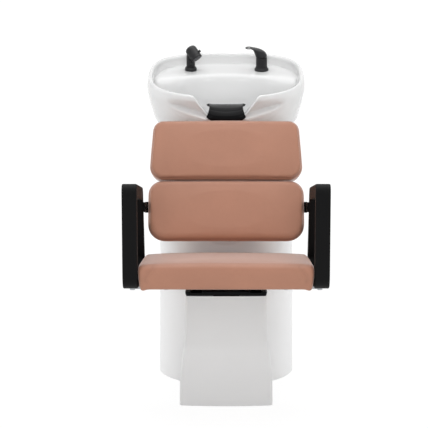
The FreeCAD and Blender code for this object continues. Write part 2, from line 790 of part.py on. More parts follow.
def shoulder_scoop(side):
    """Leaf-shaped hollow in the front wall beside the notch."""
    stretch = FreeCAD.Matrix()
    stretch.scale(*LEAF)
    leaf = Part.makeSphere(1).transformGeometry(stretch)
    x, w = LEAF_AT
    slope = (front_wall(x + 30, w) - front_wall(x - 30, w)) / 60
    leaf.rotate(V(0, 0, 0), Y_AXIS, -side * 7)
    leaf.rotate(V(0, 0, 0), Z_AXIS, side * math.degrees(math.atan(slope)))
    leaf.translate(V(side * x, front_wall(x, w) + LEAF_DEEP - LEAF[1], w))
    return leaf


def basin():
    body = basin_outside(0, BASIN_OUT)
    cuts = [rim_pocket(), bowl_cavity(), notch_tool()] + under_deck()
    cuts += [shoulder_scoop(-1), shoulder_scoop(1)]
    cuts += [rod(TAP_HOLE_R, (x, TAP_V, -60), (x, TAP_V, 0)) for x in (-TAP_X, TAP_X)]
    cuts.append(rod(DRAIN_R, (0, DRAIN_V, -230), (0, DRAIN_V, -150)))
    cuts += [rod(4 + PLAY, (x, v, -230), (x, v, -203)) for x, v in cradle_spots()]
    for tool in cuts:
        body = body.cut(tool)
    return in_basin(body.cut(box(-400, 400, -100, 700, BASIN_OUT[-1][0] - 60, BASIN_OUT[-1][0])))


def saddle_wire(v, half, top, rise, low, low_rise):
    """Closed section across the neck rest at v: hollow top, nearly flat foot."""
    corners = [V(-half, v, low + low_rise), V(half, v, low + low_rise)]
    corners += [V(half, v, top + rise), V(-half, v, top + rise)]
    foot = Part.Arc(corners[0], V(0, v, low), corners[1]).toShape()
    right = Part.LineSegment(corners[1], corners[2]).toShape()
    crest = Part.Arc(corners[2], V(0, v, top), corners[3]).toShape()
    left = Part.LineSegment(corners[3], corners[0]).toShape()
    return Part.Wire([foot, right, crest, left])


def neck_rest():
    low = NOTCH_W + FABRIC_GAP
    sections = []
    for v, half, top, rise, lift, low_rise in REST:
        sections.append(saddle_wire(v, half, low + top, rise, low + lift, low_rise))
    saddle = Part.makeLoft(sections, True, False)
    front = REST[0][0]
    wide = REST_LIP_HALF
    edge = [V(-54, front, low + 9), V(54, front, low + 9), V(wide, front, low - 16), V(-wide, front, low - 16)]
    sides = [Part.LineSegment(edge[0], edge[1]).toShape(), Part.LineSegment(edge[1], edge[2]).toShape()]
    sides.append(Part.Arc(edge[2], V(0, front, low - REST_LIP), edge[3]).toShape())
    sides.append(Part.LineSegment(edge[3], edge[0]).toShape())
    lip = Part.Face(Part.Wire(sides)).extrude(V(0, 12, 0))
    return in_basin(saddle.fuse(lip).removeSplitter())


def cradle_spots():
    return [(x, v) for x in (-92.0, 92.0) for v in (165.0, 285.0)]


PAD_T = 2.0
PAD_GAP = 0.2
CRADLE_T = 6.0
CRADLE_TOP = BASIN_OUT[-1][0] - PAD_T


def cradle_outline(w):
    return [(-112, 148, w), (112, 148, w), (112, 302, w), (-112, 302, w)]


def cradle_holes(room):
    holes = [rod(4 + PLAY, (x, v, -260), (x, v, -200)) for x, v in cradle_spots()]
    return holes + [rod(room, (0, DRAIN_V, -260), (0, DRAIN_V, -200))]


def cradle_pad():
    pad = prism(cradle_outline(CRADLE_TOP), [16] * 4, (0, 0, PAD_T - PAD_GAP))
    return in_basin(pad.cut(cradle_holes(38)))


def pivot_local():
    a = math.radians(BASIN_TILT)
    dy = PIVOT_Y - BASIN_Y
    dz = PIVOT_Z - BASIN_Z
    return (dy * math.cos(a) + dz * math.sin(a), dz * math.cos(a) - dy * math.sin(a))


def tilt_cradle():
    plate = prism(cradle_outline(CRADLE_TOP - CRADLE_T), [16] * 4, (0, 0, CRADLE_T))
    plate = plate.cut(cradle_holes(38))
    v, w = pivot_local()
    low = CRADLE_TOP - CRADLE_T
    x = EAR_X + EAR_T + 0.5
    parts = []
    for start in (x, -x - EAR_T):
        pts = [(start, v - 30, low), (start, v + 30, low)]
        pts += [(start, v + EAR_R, w - EAR_R), (start, v - EAR_R, w - EAR_R)]
        ear = prism(pts, [0, 0, 14, 14], (EAR_T, 0, 0))
        parts.append(ear.cut(rod(BUSH_R, (start - 5, v, w), (start + 20, v, w))))
    return in_basin(plate.fuse(parts).removeSplitter())


def cradle_bolts():
    low = CRADLE_TOP - CRADLE_T
    return group([in_basin(bolt(4, (x, v, -205), (x, v, low), 7, 4.5)) for x, v in cradle_spots()])


def tilt_bushes():
    v, w = pivot_local()
    x = EAR_X + EAR_T + 0.5
    solids = []
    for start in (x, -x - EAR_T):
        ring = rod(BUSH_R, (start, v, w), (start + EAR_T, v, w))
        solids.append(in_basin(ring.cut(rod(PIVOT_R + RUNNING, (start - 5, v, w), (start + 20, v, w)))))
    return group(solids)


def tilt_bracket():
    z = TOP_PLATE_Z + TOP_PLATE_T
    plate = box(-100, 100, 110, 235, z, z + 6)
    plate = plate.cut(rod(55, (0, PIVOT_Y + 3, 600), (0, PIVOT_Y + 3, 720)))
    ears = []
    for start in (EAR_X, -EAR_X - EAR_T):
        pts = [(start, PIVOT_Y - 34, z + 6), (start, PIVOT_Y + 34, z + 6)]
        pts += [(start, PIVOT_Y + EAR_R, PIVOT_Z + EAR_R), (start, PIVOT_Y - EAR_R, PIVOT_Z + EAR_R)]
        ear = prism(pts, [0, 0, 14, 14], (EAR_T, 0, 0))
        hole = rod(PIVOT_R + RUNNING, (start - 5, PIVOT_Y, PIVOT_Z), (start + 20, PIVOT_Y, PIVOT_Z))
        ears.append(ear.cut(hole))
    return plate.fuse(ears).removeSplitter()


def tilt_bolts():
    outer = EAR_X + 2 * EAR_T + 1.0
    one = bolt(PIVOT_R, (EAR_X - 9, PIVOT_Y, PIVOT_Z), (outer, PIVOT_Y, PIVOT_Z), 10, 5)
    return group([one, mirrored(one)])


def tilt_nuts():
    nut = hexagon(18, 7, (EAR_X - 7, PIVOT_Y, PIVOT_Z), "x")
    nut = nut.cut(rod(PIVOT_R + RUNNING, (EAR_X - 20, PIVOT_Y, PIVOT_Z), (EAR_X + 20, PIVOT_Y, PIVOT_Z)))
    return group([nut, mirrored(nut)])


# Waste

def waste_strainer():
    w = BOWL_BOTTOM
    profile = [(6, w + 3), (30, w + 3), (35, w + 1), (35, w), (23, w), (23, w - 60), (20, w - 66)]
    profile += [(20, w - 112), (17, w - 112), (17, w - 6), (6, w - 6)]
    body = revolved(profile, (0, DRAIN_V, 0))
    slots = []
    for i in range(8):
        a = math.pi / 4 * i
        x = 11.5 * math.cos(a)
        y = DRAIN_V + 11.5 * math.sin(a)
        slots.append(rod(3, (x, y, w - 20), (x, y, w + 10)))
    return in_basin(body.cut(slots))


def waste_gasket():
    w = BASIN_OUT[-1][0]
    ring = rod(33, (0, DRAIN_V, w - 3), (0, DRAIN_V, w))
    return in_basin(ring.cut(rod(23 + RUNNING, (0, DRAIN_V, w - 10), (0, DRAIN_V, w + 10))))


def waste_locknut():
    w = BASIN_OUT[-1][0] - 3
    nut = hexagon(56, 12, (0, DRAIN_V, w - 12), "z")
    return in_basin(nut.cut(rod(23 + RUNNING, (0, DRAIN_V, w - 30), (0, DRAIN_V, w + 10))))


# Mixer

def tap_washer(x):
    w = DECK_W - DECK_T
    ring = rod(25, (x, TAP_V, w - 3), (x, TAP_V, w))
    return in_basin(ring.cut(rod(TAP_HOLE_R, (x, TAP_V, w - 10), (x, TAP_V, w + 10))))


def tap_backnut(x):
    w = DECK_W - DECK_T - 3
    nut = hexagon(44, 9, (x, TAP_V, w - 9), "z")
    return in_basin(nut.cut(rod(TAP_HOLE_R - PLAY + RUNNING, (x, TAP_V, w - 30), (x, TAP_V, w + 10))))


def mixer_body():
    profile = [(0, -45), (TAP_HOLE_R - PLAY, -45), (TAP_HOLE_R - PLAY, 0), (24.3, 0), (24.3, 6), (21.5, 10)]
    profile += [(TAP_R, 15), (TAP_R, TAP_TOP - 1), (TAP_R - 1, TAP_TOP), (TAP_BORE_R, TAP_TOP)]
    profile += [(TAP_BORE_R, 22), (0, 22)]
    body = revolved(profile, (TAP_X, TAP_V, DECK_W))
    ports = []
    for i in range(3):
        a = math.radians(90 + 120 * i)
        x = TAP_X + 9 * math.cos(a)
        y = TAP_V + 9 * math.sin(a)
        ports.append(rod(4.5, (x, y, DECK_W - 50), (x, y, DECK_W - 20)))
        ports.append(rod(2.5, (x, y, DECK_W - 30), (x, y, DECK_W + 25)))
    return in_basin(body.cut(ports))


def mixer_cartridge():
    top = TAP_TOP - 4
    bore = 6 + RUNNING
    profile = [(0, 22), (TAP_BORE_R, 22), (TAP_BORE_R, top), (bore, top), (bore, 30), (0, 30)]
    return in_basin(revolved(profile, (TAP_X, TAP_V, DECK_W)))


def mixer_stem():
    low = TAP_TOP + 1
    profile = [(0, 30), (6, 30), (6, low), (STEM_COLLAR_R, low), (STEM_COLLAR_R, low + 6), (0, low + 6)]
    stem = revolved(profile, (TAP_X, TAP_V, DECK_W))
    px, ph = LEVER_PIVOT
    x = TAP_X + px
    w = DECK_W + ph
    ear = rod(3, (x, TAP_V - 4, w), (x, TAP_V + 4, w))
    arm = box(TAP_X + 5, x, TAP_V - 4, TAP_V + 4, w - 3, w + 3)
    stem = stem.fuse([ear, arm]).removeSplitter()
    return in_basin(stem.cut(rod(1.6, (x, TAP_V - 9, w), (x, TAP_V + 9, w))))


def mixer_pin():
    px, ph = LEVER_PIVOT
    return in_basin(rod(1.6, (TAP_X + px, TAP_V - 8, DECK_W + ph), (TAP_X + px, TAP_V + 8, DECK_W + ph)))


def lever_wire(outer, inner, deep):
    """Oval section between an outer and an inner point of (left, height), seen from the front."""
    pts = []
    for i in range(16):
        a = 2 * math.pi * i / 16
        k = (1 + math.cos(a)) / 2
        left = inner[0] + k * (outer[0] - inner[0])
        high = inner[1] + k * (outer[1] - inner[1])
        pts.append(V(TAP_X - left, TAP_V + deep * math.sin(a), DECK_W + high))
    curve = Part.BSplineCurve()
    curve.interpolate(pts, PeriodicFlag=True)
    return Part.Wire([curve.toShape()])


def mixer_lever():
    low = TAP_TOP + 0.4
    r = TAP_R
    top = LEVER_Z + LEVER_T
    sweep = [((-r, low), (r, low), r), ((1 - r, low + 6), (r + 1.5, low + 4), r)]
    sweep.append(((3 - r, low + 13), (r + 3, low + 8), r - 1))
    sweep += [((-9.5, low + 21), (r + 5, low + 13), r - 2), ((0.5, low + 27), (r + 6.5, low + 17.5), r - 3)]
    sweep.append(((12, low + 31), (r + 8.2, low + 22), r - 4))
    sweep.append(((24, top - 2), (r + 10.7, LEVER_Z - 3.5), r - 5.5))
    sweep.append(((34, top - 0.6), (36, LEVER_Z + 0.6), LEVER_HALF - 1))
    body = Part.makeLoft([lever_wire(*s) for s in sweep], True, False)
    half = LEVER_HALF
    near = TAP_V - half
    far = TAP_V + half
    tip = TAP_X - LEVER_REACH
    root = TAP_X - 30
    w = DECK_W + LEVER_Z + 2.4
    plan = [(tip, near, w), (root, near, w), (root, far, w), (tip, far, w)]
    eye = prism(plan, [half - 1, 6, 6, half - 1], (0, 0, LEVER_T - 2.8))
    slot = [(tip + 5.5, TAP_V - 6, 0), (tip + 22, TAP_V - 6, 0)]
    slot += [(tip + 22, TAP_V + 6, 0), (tip + 5.5, TAP_V + 6, 0)]
    lever = body.fuse(eye).removeSplitter().cut(prism(slot, [5.8] * 4, (0, 0, 100)))
    hollow = [(0, low - 5), (15.5, low - 5), (15.5, low + 8), (9, low + 15), (0, low + 15)]
    room = revolved(hollow, (TAP_X, TAP_V, DECK_W))
    px, ph = LEVER_PIVOT
    x = TAP_X + px
    w = DECK_W + ph
    lugs = [box(x - 3, x + 3, TAP_V + y, TAP_V + y + 4, w - 2.8, DECK_W + low + 16) for y in (-8.4, 4.4)]
    room = room.cut(lugs)
    lever = lever.cut(room)
    swing = box(x, x + 30, TAP_V - 40, TAP_V + 40, w - 40, DECK_W + low + 0.001)
    swing.rotate(V(x, 0, DECK_W + low), Y_AXIS, -LEVER_LIFT - 2)
    pin = rod(1.6 + RUNNING, (x, TAP_V - 20, w), (x, TAP_V + 20, w)).common(
        box(x - 5, x + 5, TAP_V - 8.4, TAP_V + 8.4, w - 5, w + 5))
    ear_room = rod(3.5, (x, TAP_V - 4.4, w), (x, TAP_V + 4.4, w))
    return in_basin(lever.cut([swing, pin, ear_room]))


# Hand shower

def head_frame():
    """Unit axis of the head and the way its button stands."""
    axis = V(*HEAD_DIR).normalize()
    up = V(0.72, -0.10, 0.66)
    up = (up - axis * up.dot(axis)).normalize()
    centre = V(HEAD_AT[0] - TAP_X, HEAD_AT[1] + TAP_V, HEAD_AT[2] + DECK_W)
    return axis, up, centre


def shower_holder():
    profile = [(SLEEVE_R + RUNNING, -52), (TAP_HOLE_R - PLAY, -52), (TAP_HOLE_R - PLAY, 0), (21, 0), (21, 6)]
    profile += [(18.5, HOLDER_H - 1), (17.5, HOLDER_H), (SLEEVE_R + RUNNING, HOLDER_H)]
    return in_basin(revolved(profile, (-TAP_X, TAP_V, DECK_W)))


def shower_sleeve():
    top = HOLDER_H + 3
    tube = rod(SLEEVE_R, (-TAP_X, TAP_V, DECK_W - 52), (-TAP_X, TAP_V, DECK_W + top))
    collar = rod(15.6, (-TAP_X, TAP_V, DECK_W + HOLDER_H), (-TAP_X, TAP_V, DECK_W + top))
    bore = rod(TAIL_R + RUNNING, (-TAP_X, TAP_V, DECK_W - 60), (-TAP_X, TAP_V, DECK_W + 40))
    return in_basin(tube.fuse(collar).removeSplitter().cut(bore))


def button_rod(inner, outer):
    axis, up, centre = head_frame()
    start = centre + axis * 9
    radius = BUTTON_R
    return Part.makeCylinder(radius, outer - inner, start + up * inner, up)


def shower_body():
    low = HOLDER_H + 3
    profile = [(4, -52), (TAIL_R, -52), (TAIL_R, low), (13.5, low), (15, low + 2), (15, 44), (13, 58), (4, 58)]
    handle = revolved(profile, (-TAP_X, TAP_V, DECK_W))
    axis, up, centre = head_frame()
    start = centre - axis * (HEAD_LONG / 2)
    head = Part.makeCylinder(HEAD_R, HEAD_LONG, start, axis)
    back = [e for e in head.Edges if (e.CenterOfMass - start).Length < 1]
    head = head.makeFillet(9.0, back)
    body = handle.fuse(head).removeSplitter()
    mouth = centre + axis * (HEAD_LONG / 2)
    chamber = Part.makeCylinder(FACE_R - 4, 16, mouth - axis * 15, axis)
    seat = Part.makeCylinder(FACE_R, 4, mouth - axis * 3, axis)
    way = rod(4, (-TAP_X, TAP_V, DECK_W - 60), (-TAP_X, TAP_V, DECK_W + HEAD_AT[2]))
    well = Part.makeCylinder(BUTTON_R + RUNNING, 20, centre + axis * 9 + up * (HEAD_R - 8.5), up)
    return in_basin(body.cut([chamber, seat, way, well]))


def shower_face():
    axis, up, centre = head_frame()
    mouth = centre + axis * (HEAD_LONG / 2)
    disc = Part.makeCylinder(FACE_R, 3, mouth - axis * 3, axis)
    across = axis.cross(up)
    holes = []
    for ring, count in ((FACE_R * 0.32, 6), (FACE_R * 0.64, 12)):
        for i in range(count):
            a = 2 * math.pi * i / count
            at = mouth - axis * 6 + up * (ring * math.cos(a)) + across * (ring * math.sin(a))
            holes.append(Part.makeCylinder(1.0, 12, at, axis))
    return in_basin(disc.cut(holes))


def shower_button():
    return in_basin(button_rod(HEAD_R - 5, HEAD_R + BUTTON_OUT))


def shower_hose_nut():
    profile = [(4, -66), (9, -66), (10.5, -62), (10.5, -52), (4, -52)]
    return in_basin(revolved(profile, (-TAP_X, TAP_V, DECK_W)))


NODES = {
    "base_plate": base_plate(),
    "column_frame": column_frame(),
    "column_shell": column_shell(),
    "rear_panel": rear_panel(),
    "rear_panel_screws": rear_panel_screws(),
    "pedestal_post": pedestal_post(),
    "pedestal_shell": pedestal_shell(),
    "seat_tray": seat_tray(),
    "seat_rail_left": seat_rail(-1),
    "seat_rail_right": seat_rail(1),
    "seat_crossbar_front": seat_crossbar(0),
    "seat_crossbar_rear": seat_crossbar(1),
    "seat_board": seat_board(),
    "seat_board_bolts": seat_board_bolts(),
    "seat_cushion": seat_cushion(),
    "armrest_left": mirrored(armrest()),
    "armrest_right": armrest(),
    "armrest_bolts": armrest_bolts(),
    "armrest_bracket_left": mirrored(armrest_bracket()),
    "armrest_bracket_right": armrest_bracket(),
    "armrest_bracket_bolts": armrest_bracket_bolts(),
    "back_upright_left": back_upright(-1),
    "back_upright_right": back_upright(1),
    "back_frame_bolts": back_frame_bolts(),
    "lower_back_board": lower_back_board(),
    "lower_back_cushion": lower_back_cushion(),
    "upper_back_board": upper_back_board(),
    "upper_board_screws": upper_board_screws(),
    "upper_back_cushion": upper_back_cushion(),
    "basin": basin(),
    "neck_rest": neck_rest(),
    "cradle_pad": cradle_pad(),
    "tilt_cradle": tilt_cradle(),
    "cradle_bolts": cradle_bolts(),
    "tilt_bushes": tilt_bushes(),
    "tilt_bracket": tilt_bracket(),
    "tilt_bolts": tilt_bolts(),
    "tilt_nuts": tilt_nuts(),
    "waste_strainer": waste_strainer(),
    "waste_gasket": waste_gasket(),
    "waste_locknut": waste_locknut(),
    "mixer_body": mixer_body(),
    "mixer_washer": tap_washer(TAP_X),
    "mixer_backnut": tap_backnut(TAP_X),
    "mixer_cartridge": mixer_cartridge(),
    "mixer_stem": mixer_stem(),
    "mixer_pin": mixer_pin(),
    "mixer_lever": mixer_lever(),
    "shower_holder": shower_holder(),
    "shower_washer": tap_washer(-TAP_X),
    "shower_backnut": tap_backnut(-TAP_X),
    "shower_sleeve": shower_sleeve(),
    "shower_body": shower_body(),
    "shower_face": shower_face(),
    "shower_hose_nut": shower_hose_nut(),
    "shower_button": shower_button(),
}

for name, shape in NODES.items():
    shape.exportStep("parts/" + name + ".step")
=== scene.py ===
import json
import math
from collections import namedtuple

import bmesh
import bpy
import numpy as np
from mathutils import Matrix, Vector, noise
from mathutils.bvhtree import BVHTree


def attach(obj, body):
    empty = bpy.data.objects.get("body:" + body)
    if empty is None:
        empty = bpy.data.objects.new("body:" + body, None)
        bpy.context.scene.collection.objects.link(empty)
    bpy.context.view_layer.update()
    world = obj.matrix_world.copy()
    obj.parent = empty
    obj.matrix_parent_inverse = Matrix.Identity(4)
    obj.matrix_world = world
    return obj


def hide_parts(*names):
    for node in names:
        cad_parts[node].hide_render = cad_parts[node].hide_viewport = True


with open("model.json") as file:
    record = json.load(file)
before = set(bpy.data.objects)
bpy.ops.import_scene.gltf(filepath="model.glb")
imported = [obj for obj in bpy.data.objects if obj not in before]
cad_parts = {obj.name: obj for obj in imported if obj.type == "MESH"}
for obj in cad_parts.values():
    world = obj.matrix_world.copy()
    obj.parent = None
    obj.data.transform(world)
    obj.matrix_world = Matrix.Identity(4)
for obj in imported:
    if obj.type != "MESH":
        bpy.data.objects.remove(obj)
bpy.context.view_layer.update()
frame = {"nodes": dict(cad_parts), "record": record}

bl_info = {
    "name": "Backwash unit",
    "version": (1, 0, 0),
    "blender": (4, 5, 0),
    "location": "View3D > Sidebar > Backwash",
    "description": "Upholstery, basin, taps, finishes and stage of a salon backwash unit",
    "category": "Object",
}

MM = 0.001
WHITE = (1.0, 1.0, 1.0, 1.0)

# Local frames of the unit, as in its solids: origin in millimetres and turn about X in degrees

SEAT_FRAME = ((0.0, -700.0, 425.0), -7.5)
BACK_FRAME = ((0.0, -312.0, 488.0), -24.0)
BASIN_FRAME = ((0.0, -80.0, 922.0), 12.0)


def turned(points, degrees):
    """Points turned about the X axis."""
    c, s = math.cos(math.radians(degrees)), math.sin(math.radians(degrees))
    x, y, z = np.asarray(points, float).reshape(-1, 3).T
    return np.column_stack([x, y * c - z * s, y * s + z * c])


def to_row(points, local):
    """Points of a local frame, millimetres, in the row frame, metres."""
    origin, turn = local
    return (turned(points, turn) + origin) * MM


def to_local(points, local):
    """Points of the row frame, metres, in a local frame, millimetres."""
    origin, turn = local
    return turned(np.asarray(points, float).reshape(-1, 3) / MM - origin, -turn)


# Sizes and colours a user would change

def length(label, words, value, low, high):
    return bpy.props.FloatProperty(
        name=label, description=words, default=value, min=low, max=high, unit="LENGTH")


def colour(label, words, value):
    return bpy.props.FloatVectorProperty(
        name=label, description=words, subtype="COLOR", size=4, min=0.0, max=1.0, default=(*value, 1.0))


class BackwashSizes(bpy.types.PropertyGroup):
    """Sizes of the upholstery, the basin and the taps."""

    voxel: length(
        "Cushion grid", "Grid that the cushions are remeshed on before they swell", 0.005, 0.004, 0.01)
    pressure: bpy.props.FloatProperty(
        name="Cushion pressure", description="How hard the foam presses on its cover",
        default=4.0, min=0.0, max=12.0)
    seat_swell: length("Seat swell", "Furthest that the seat cover moves out", 0.0045, 0.0, 0.03)
    back_swell: length("Back swell", "Furthest that the back covers move out", 0.0045, 0.0, 0.03)
    seam_depth: length("Seam depth", "Depth of the groove along a seam", 0.0022, 0.0, 0.01)
    stitch_pitch: length("Stitch pitch", "Distance from stitch to stitch", 0.0075, 0.003, 0.02)
    stitch_length: length("Stitch length", "Length of one stitch", 0.0048, 0.002, 0.02)
    stitch_thickness: length("Stitch thickness", "Thickness of the thread", 0.0011, 0.0004, 0.003)
    rim: length("Basin rim", "Width of the basin's rim", 0.015, 0.008, 0.03)
    nozzle: length("Spray nozzle", "Radius of a spray nozzle", 0.0011, 0.0005, 0.003)


class BackwashColours(bpy.types.PropertyGroup):
    """Colours of the finishes."""

    leather: colour("Leather", "Tan upholstery leather", (0.432, 0.208, 0.137))
    thread: colour("Thread", "Sewing thread of the covers", (0.33, 0.15, 0.09))
    shell: colour("Shell", "Moulded column and pedestal", (0.89, 0.89, 0.892))
    ceramic: colour("Ceramic", "Glazed basin", (0.72, 0.722, 0.722))
    arms: colour("Armrests", "Lacquer of the armrests", (0.0035, 0.0035, 0.0037))
    taps: colour("Taps", "Coating of the mixer and the hand shower", (0.011, 0.011, 0.012))
    gel: colour("Neck rest", "Gel of the neck rest", (0.004, 0.004, 0.0045))
    steel: colour("Black steel", "Powder coat of the steelwork", (0.004, 0.004, 0.0043))
    floor: colour("Floor", "Studio floor", (0.84, 0.84, 0.84))


def sizes():
    return bpy.context.scene.backwash_sizes


def colours():
    return bpy.context.scene.backwash_colours


# Node trees

class Value:
    """A node socket whose arithmetic adds Math nodes."""

    def __init__(self, nodes, socket):
        self.nodes = nodes
        self.socket = socket

    def math(self, operation, first, second):
        return self.nodes.add("ShaderNodeMath", {"operation": operation}, {0: first, 1: second})

    def __add__(self, other):
        return self.math("ADD", self, other)

    __radd__ = __add__

    def __sub__(self, other):
        return self.math("SUBTRACT", self, other)

    def __rsub__(self, other):
        return self.math("SUBTRACT", other, self)

    def __mul__(self, other):
        return self.math("MULTIPLY", self, other)

    __rmul__ = __mul__


class Nodes:
    """A node tree and a short way to fill it."""

    def __init__(self, tree):
        self.tree = tree

    def add(self, kind, settings=None, inputs=None, output=0):
        """Adds a node with its settings and inputs, and gives one of its outputs, if it has any."""
        node = self.tree.nodes.new(kind)
        for key, value in (settings or {}).items():
            if key == "stops":
                for stop, (at, grey) in zip(node.color_ramp.elements, value):
                    stop.position = at
                    stop.color = (grey, grey, grey, 1.0)
            else:
                setattr(node, key, value)
        for key, value in (inputs or {}).items():
            self.feed(node.inputs[key], value)
        return Value(self, node.outputs[output]) if len(node.outputs) else None

    def feed(self, socket, value):
        if isinstance(value, Value):
            self.tree.links.new(value.socket, socket)
        else:
            socket.default_value = value

    def shown_rays(self):
        """At least 1 for rays from the camera, off gloss and through glass, and 0 for the rest."""
        camera, gloss, glass = (self.add("ShaderNodeLightPath", output=f"Is {kind} Ray")
                                for kind in ("Camera", "Glossy", "Transmission"))
        return camera + gloss + glass


class Finish(Nodes):
    """A new material and the nodes of its finish."""

    def __init__(self, name):
        self.material = bpy.data.materials.new(name)
        self.material.use_nodes = True
        super().__init__(self.material.node_tree)
        self.shader = self.tree.nodes["Principled BSDF"]
        self.place = self.add("ShaderNodeTexCoord", output="Object")

    def set(self, **sockets):
        """Sets sockets of the shader; an underscore in a name stands for a space."""
        for name, value in sockets.items():
            self.feed(self.shader.inputs[name.replace("_", " ")], value)

    def noise(self, scale, detail=3.0, rough=0.55, place=None):
        inputs = {"Vector": place or self.place, "Scale": scale, "Detail": detail, "Roughness": rough}
        return self.add("ShaderNodeTexNoise", {}, inputs)

    def cells(self, scale, feature="F1"):
        return self.add("ShaderNodeTexVoronoi", {"feature": feature}, {"Vector": self.place, "Scale": scale})

    def ramp(self, value, start, end, first=0.0, last=1.0):
        """Grey from first to last as the value goes from start to end."""
        return self.add("ShaderNodeValToRGB", {"stops": ((start, first), (end, last))}, {0: value})

    def blend(self, factor, first, second):
        return self.add("ShaderNodeMix", {"data_type": "RGBA"}, {0: factor, 6: first, 7: second}, 2)

    def stretched(self, x, y, z):
        return self.add("ShaderNodeMapping", {}, {"Vector": self.place, "Scale": (x, y, z)})

    def bump(self, height, strength, depth):
        relief = self.add("ShaderNodeBump", {}, {"Strength": strength, "Distance": depth, "Height": height})
        self.set(Normal=relief)


class Scatter(Nodes):
    """A Geometry Nodes tree that sets copies of a shape on points."""

    def __init__(self, name, inputs):
        super().__init__(bpy.data.node_groups.new(name, "GeometryNodeTree"))
        face = self.tree.interface
        for label, kind in {"Geometry": "Geometry", **inputs, "Material": "Material"}.items():
            face.new_socket(label, in_out="INPUT", socket_type="NodeSocket" + kind)
        face.new_socket("Geometry", in_out="OUTPUT", socket_type="NodeSocketGeometry")

    def given(self, label):
        """An input of the tree."""
        return self.add("NodeGroupInput", output=label)

    def lay(self, points, shape, axis, way, scale):
        """Sets the shape on the points, its axis along the way, as one mesh with the given material."""
        turn = self.add("FunctionNodeAlignRotationToVector", {"axis": axis}, {"Vector": way})
        laid = self.add("GeometryNodeInstanceOnPoints", {}, {
            "Points": points, "Instance": shape, "Rotation": turn, "Scale": scale})
        real = self.add("GeometryNodeRealizeInstances", {}, {"Geometry": laid})
        inputs = {"Geometry": real, "Material": self.given("Material")}
        self.add("NodeGroupOutput", {}, {"Geometry": self.add("GeometryNodeSetMaterial", {}, inputs)})
        return self.tree


def stitch_tree():
    """Node tree that lays stitches along a path."""
    t = Scatter("Stitch row", {"Pitch": "Float", "Length": "Float", "Thickness": "Float"})
    curve = t.add("GeometryNodeMeshToCurve", {}, {"Mesh": t.given("Geometry")})
    inputs = {"Curve": curve, "Length": t.given("Pitch")}
    even = t.add("GeometryNodeResampleCurve", {"mode": "LENGTH"}, inputs)
    bead = t.add("GeometryNodeMeshIcoSphere", {}, {"Radius": 0.5})
    thick = t.given("Thickness")
    size = t.add("ShaderNodeCombineXYZ", {}, {"X": t.given("Length"), "Y": thick, "Z": thick})
    return t.lay(even, bead, "X", t.add("GeometryNodeInputTangent"), size)


def nozzle_tree():
    """Node tree that sets spray nozzles on points."""
    t = Scatter("Spray nozzles", {"Radius": "Float", "Direction": "Vector"})
    cone = t.add("GeometryNodeMeshCone", {}, {
        "Vertices": 10, "Radius Top": 0.62, "Radius Bottom": 1.0, "Depth": 1.4})
    return t.lay(t.given("Geometry"), cone, "Z", t.given("Direction"), t.given("Radius"))


# Finishes

def shade(colour_value, factor):
    """A colour made lighter or darker."""
    return tuple(min(1.0, c * factor) for c in colour_value[:3]) + (1.0,)


def leather_finish():
    """Tan leather: pebbled grain, soft mottling, and painted shade that darkens it along seams and pleats.
    """
    f = Finish("leather_tan")
    tan = tuple(colours().leather)
    cloud = f.ramp(f.noise(7.0, 4.0), 0.3, 0.7)
    mottle = f.noise(60.0, 5.0, 0.65)
    base = f.blend(cloud, shade(tan, 0.94), shade(tan, 1.05))
    base = f.blend(mottle * 0.35, base, shade(tan, 0.84))
    pebble = f.cells(640.0, "DISTANCE_TO_EDGE")
    valley = f.ramp(pebble, 0.0, 0.16, 1.0, 0.0)
    base = f.blend(valley * 0.22, base, shade(tan, 0.68))
    # Painted shade: the tan is darkened towards 0.45 in seam grooves and pleat folds.
    crease = f.add("ShaderNodeAttribute", {"attribute_name": "crease"}, output="Fac")
    base = f.blend(crease * 0.62, base, shade(tan, 0.45))
    f.set(Base_Color=base, Roughness=0.41 + 0.14 * mottle + 0.1 * valley)
    f.set(Specular_IOR_Level=0.45, Sheen_Weight=0.5, Sheen_Roughness=0.35)
    grain = f.ramp(pebble, 0.0, 0.35) + 0.35 * f.noise(2200.0, 2.0)
    f.bump(grain + 1.6 * f.noise(130.0, 2.0), 0.32, 0.0004)
    return f.material


def thread_finish():
    """Twisted sewing thread."""
    f = Finish("thread")
    tone = tuple(colours().thread)
    twist = f.noise(900.0, 2.0)
    f.set(Base_Color=f.blend(twist, shade(tone, 0.7), shade(tone, 1.2)), Roughness=0.6 + 0.2 * twist)
    f.bump(twist, 0.4, 0.0003)
    return f.material


def shell_finish(name, tone, rough):
    """Moulded and sprayed shell with a faint orange peel and handling marks."""
    f = Finish(name)
    cloud = f.noise(3.0, 3.0)
    speck = f.noise(420.0, 2.0)
    base = f.blend(cloud * 0.5, tone, shade(tone, 0.955))
    smear = f.ramp(f.noise(11.0, 5.0, 0.7), 0.45, 0.75)
    base = f.blend(smear * 0.1, base, shade(tone, 0.92))
    f.set(Base_Color=base, Roughness=rough + 0.1 * smear + 0.05 * speck)
    f.bump(speck + 2.0 * f.noise(160.0, 1.0), 0.1, 0.0003)
    return f.material


def ceramic_finish():
    """White glaze: glossy, faintly rippled, a little uneven where it pooled."""
    f = Finish("ceramic")
    tone = tuple(colours().ceramic)
    pool = f.noise(9.0, 3.0)
    base = f.blend(pool * 0.4, tone, shade(tone, 0.965))
    pin = f.ramp(f.cells(260.0), 0.0, 0.05, 1.0, 0.0)
    base = f.blend(pin * 0.12, base, shade(tone, 0.86))
    f.set(Base_Color=base, Roughness=0.1 + 0.07 * pool)
    f.set(Specular_IOR_Level=0.34, Coat_Weight=0.12, Coat_Roughness=0.04)
    f.bump(f.noise(22.0, 2.0), 0.05, 0.001)
    return f.material


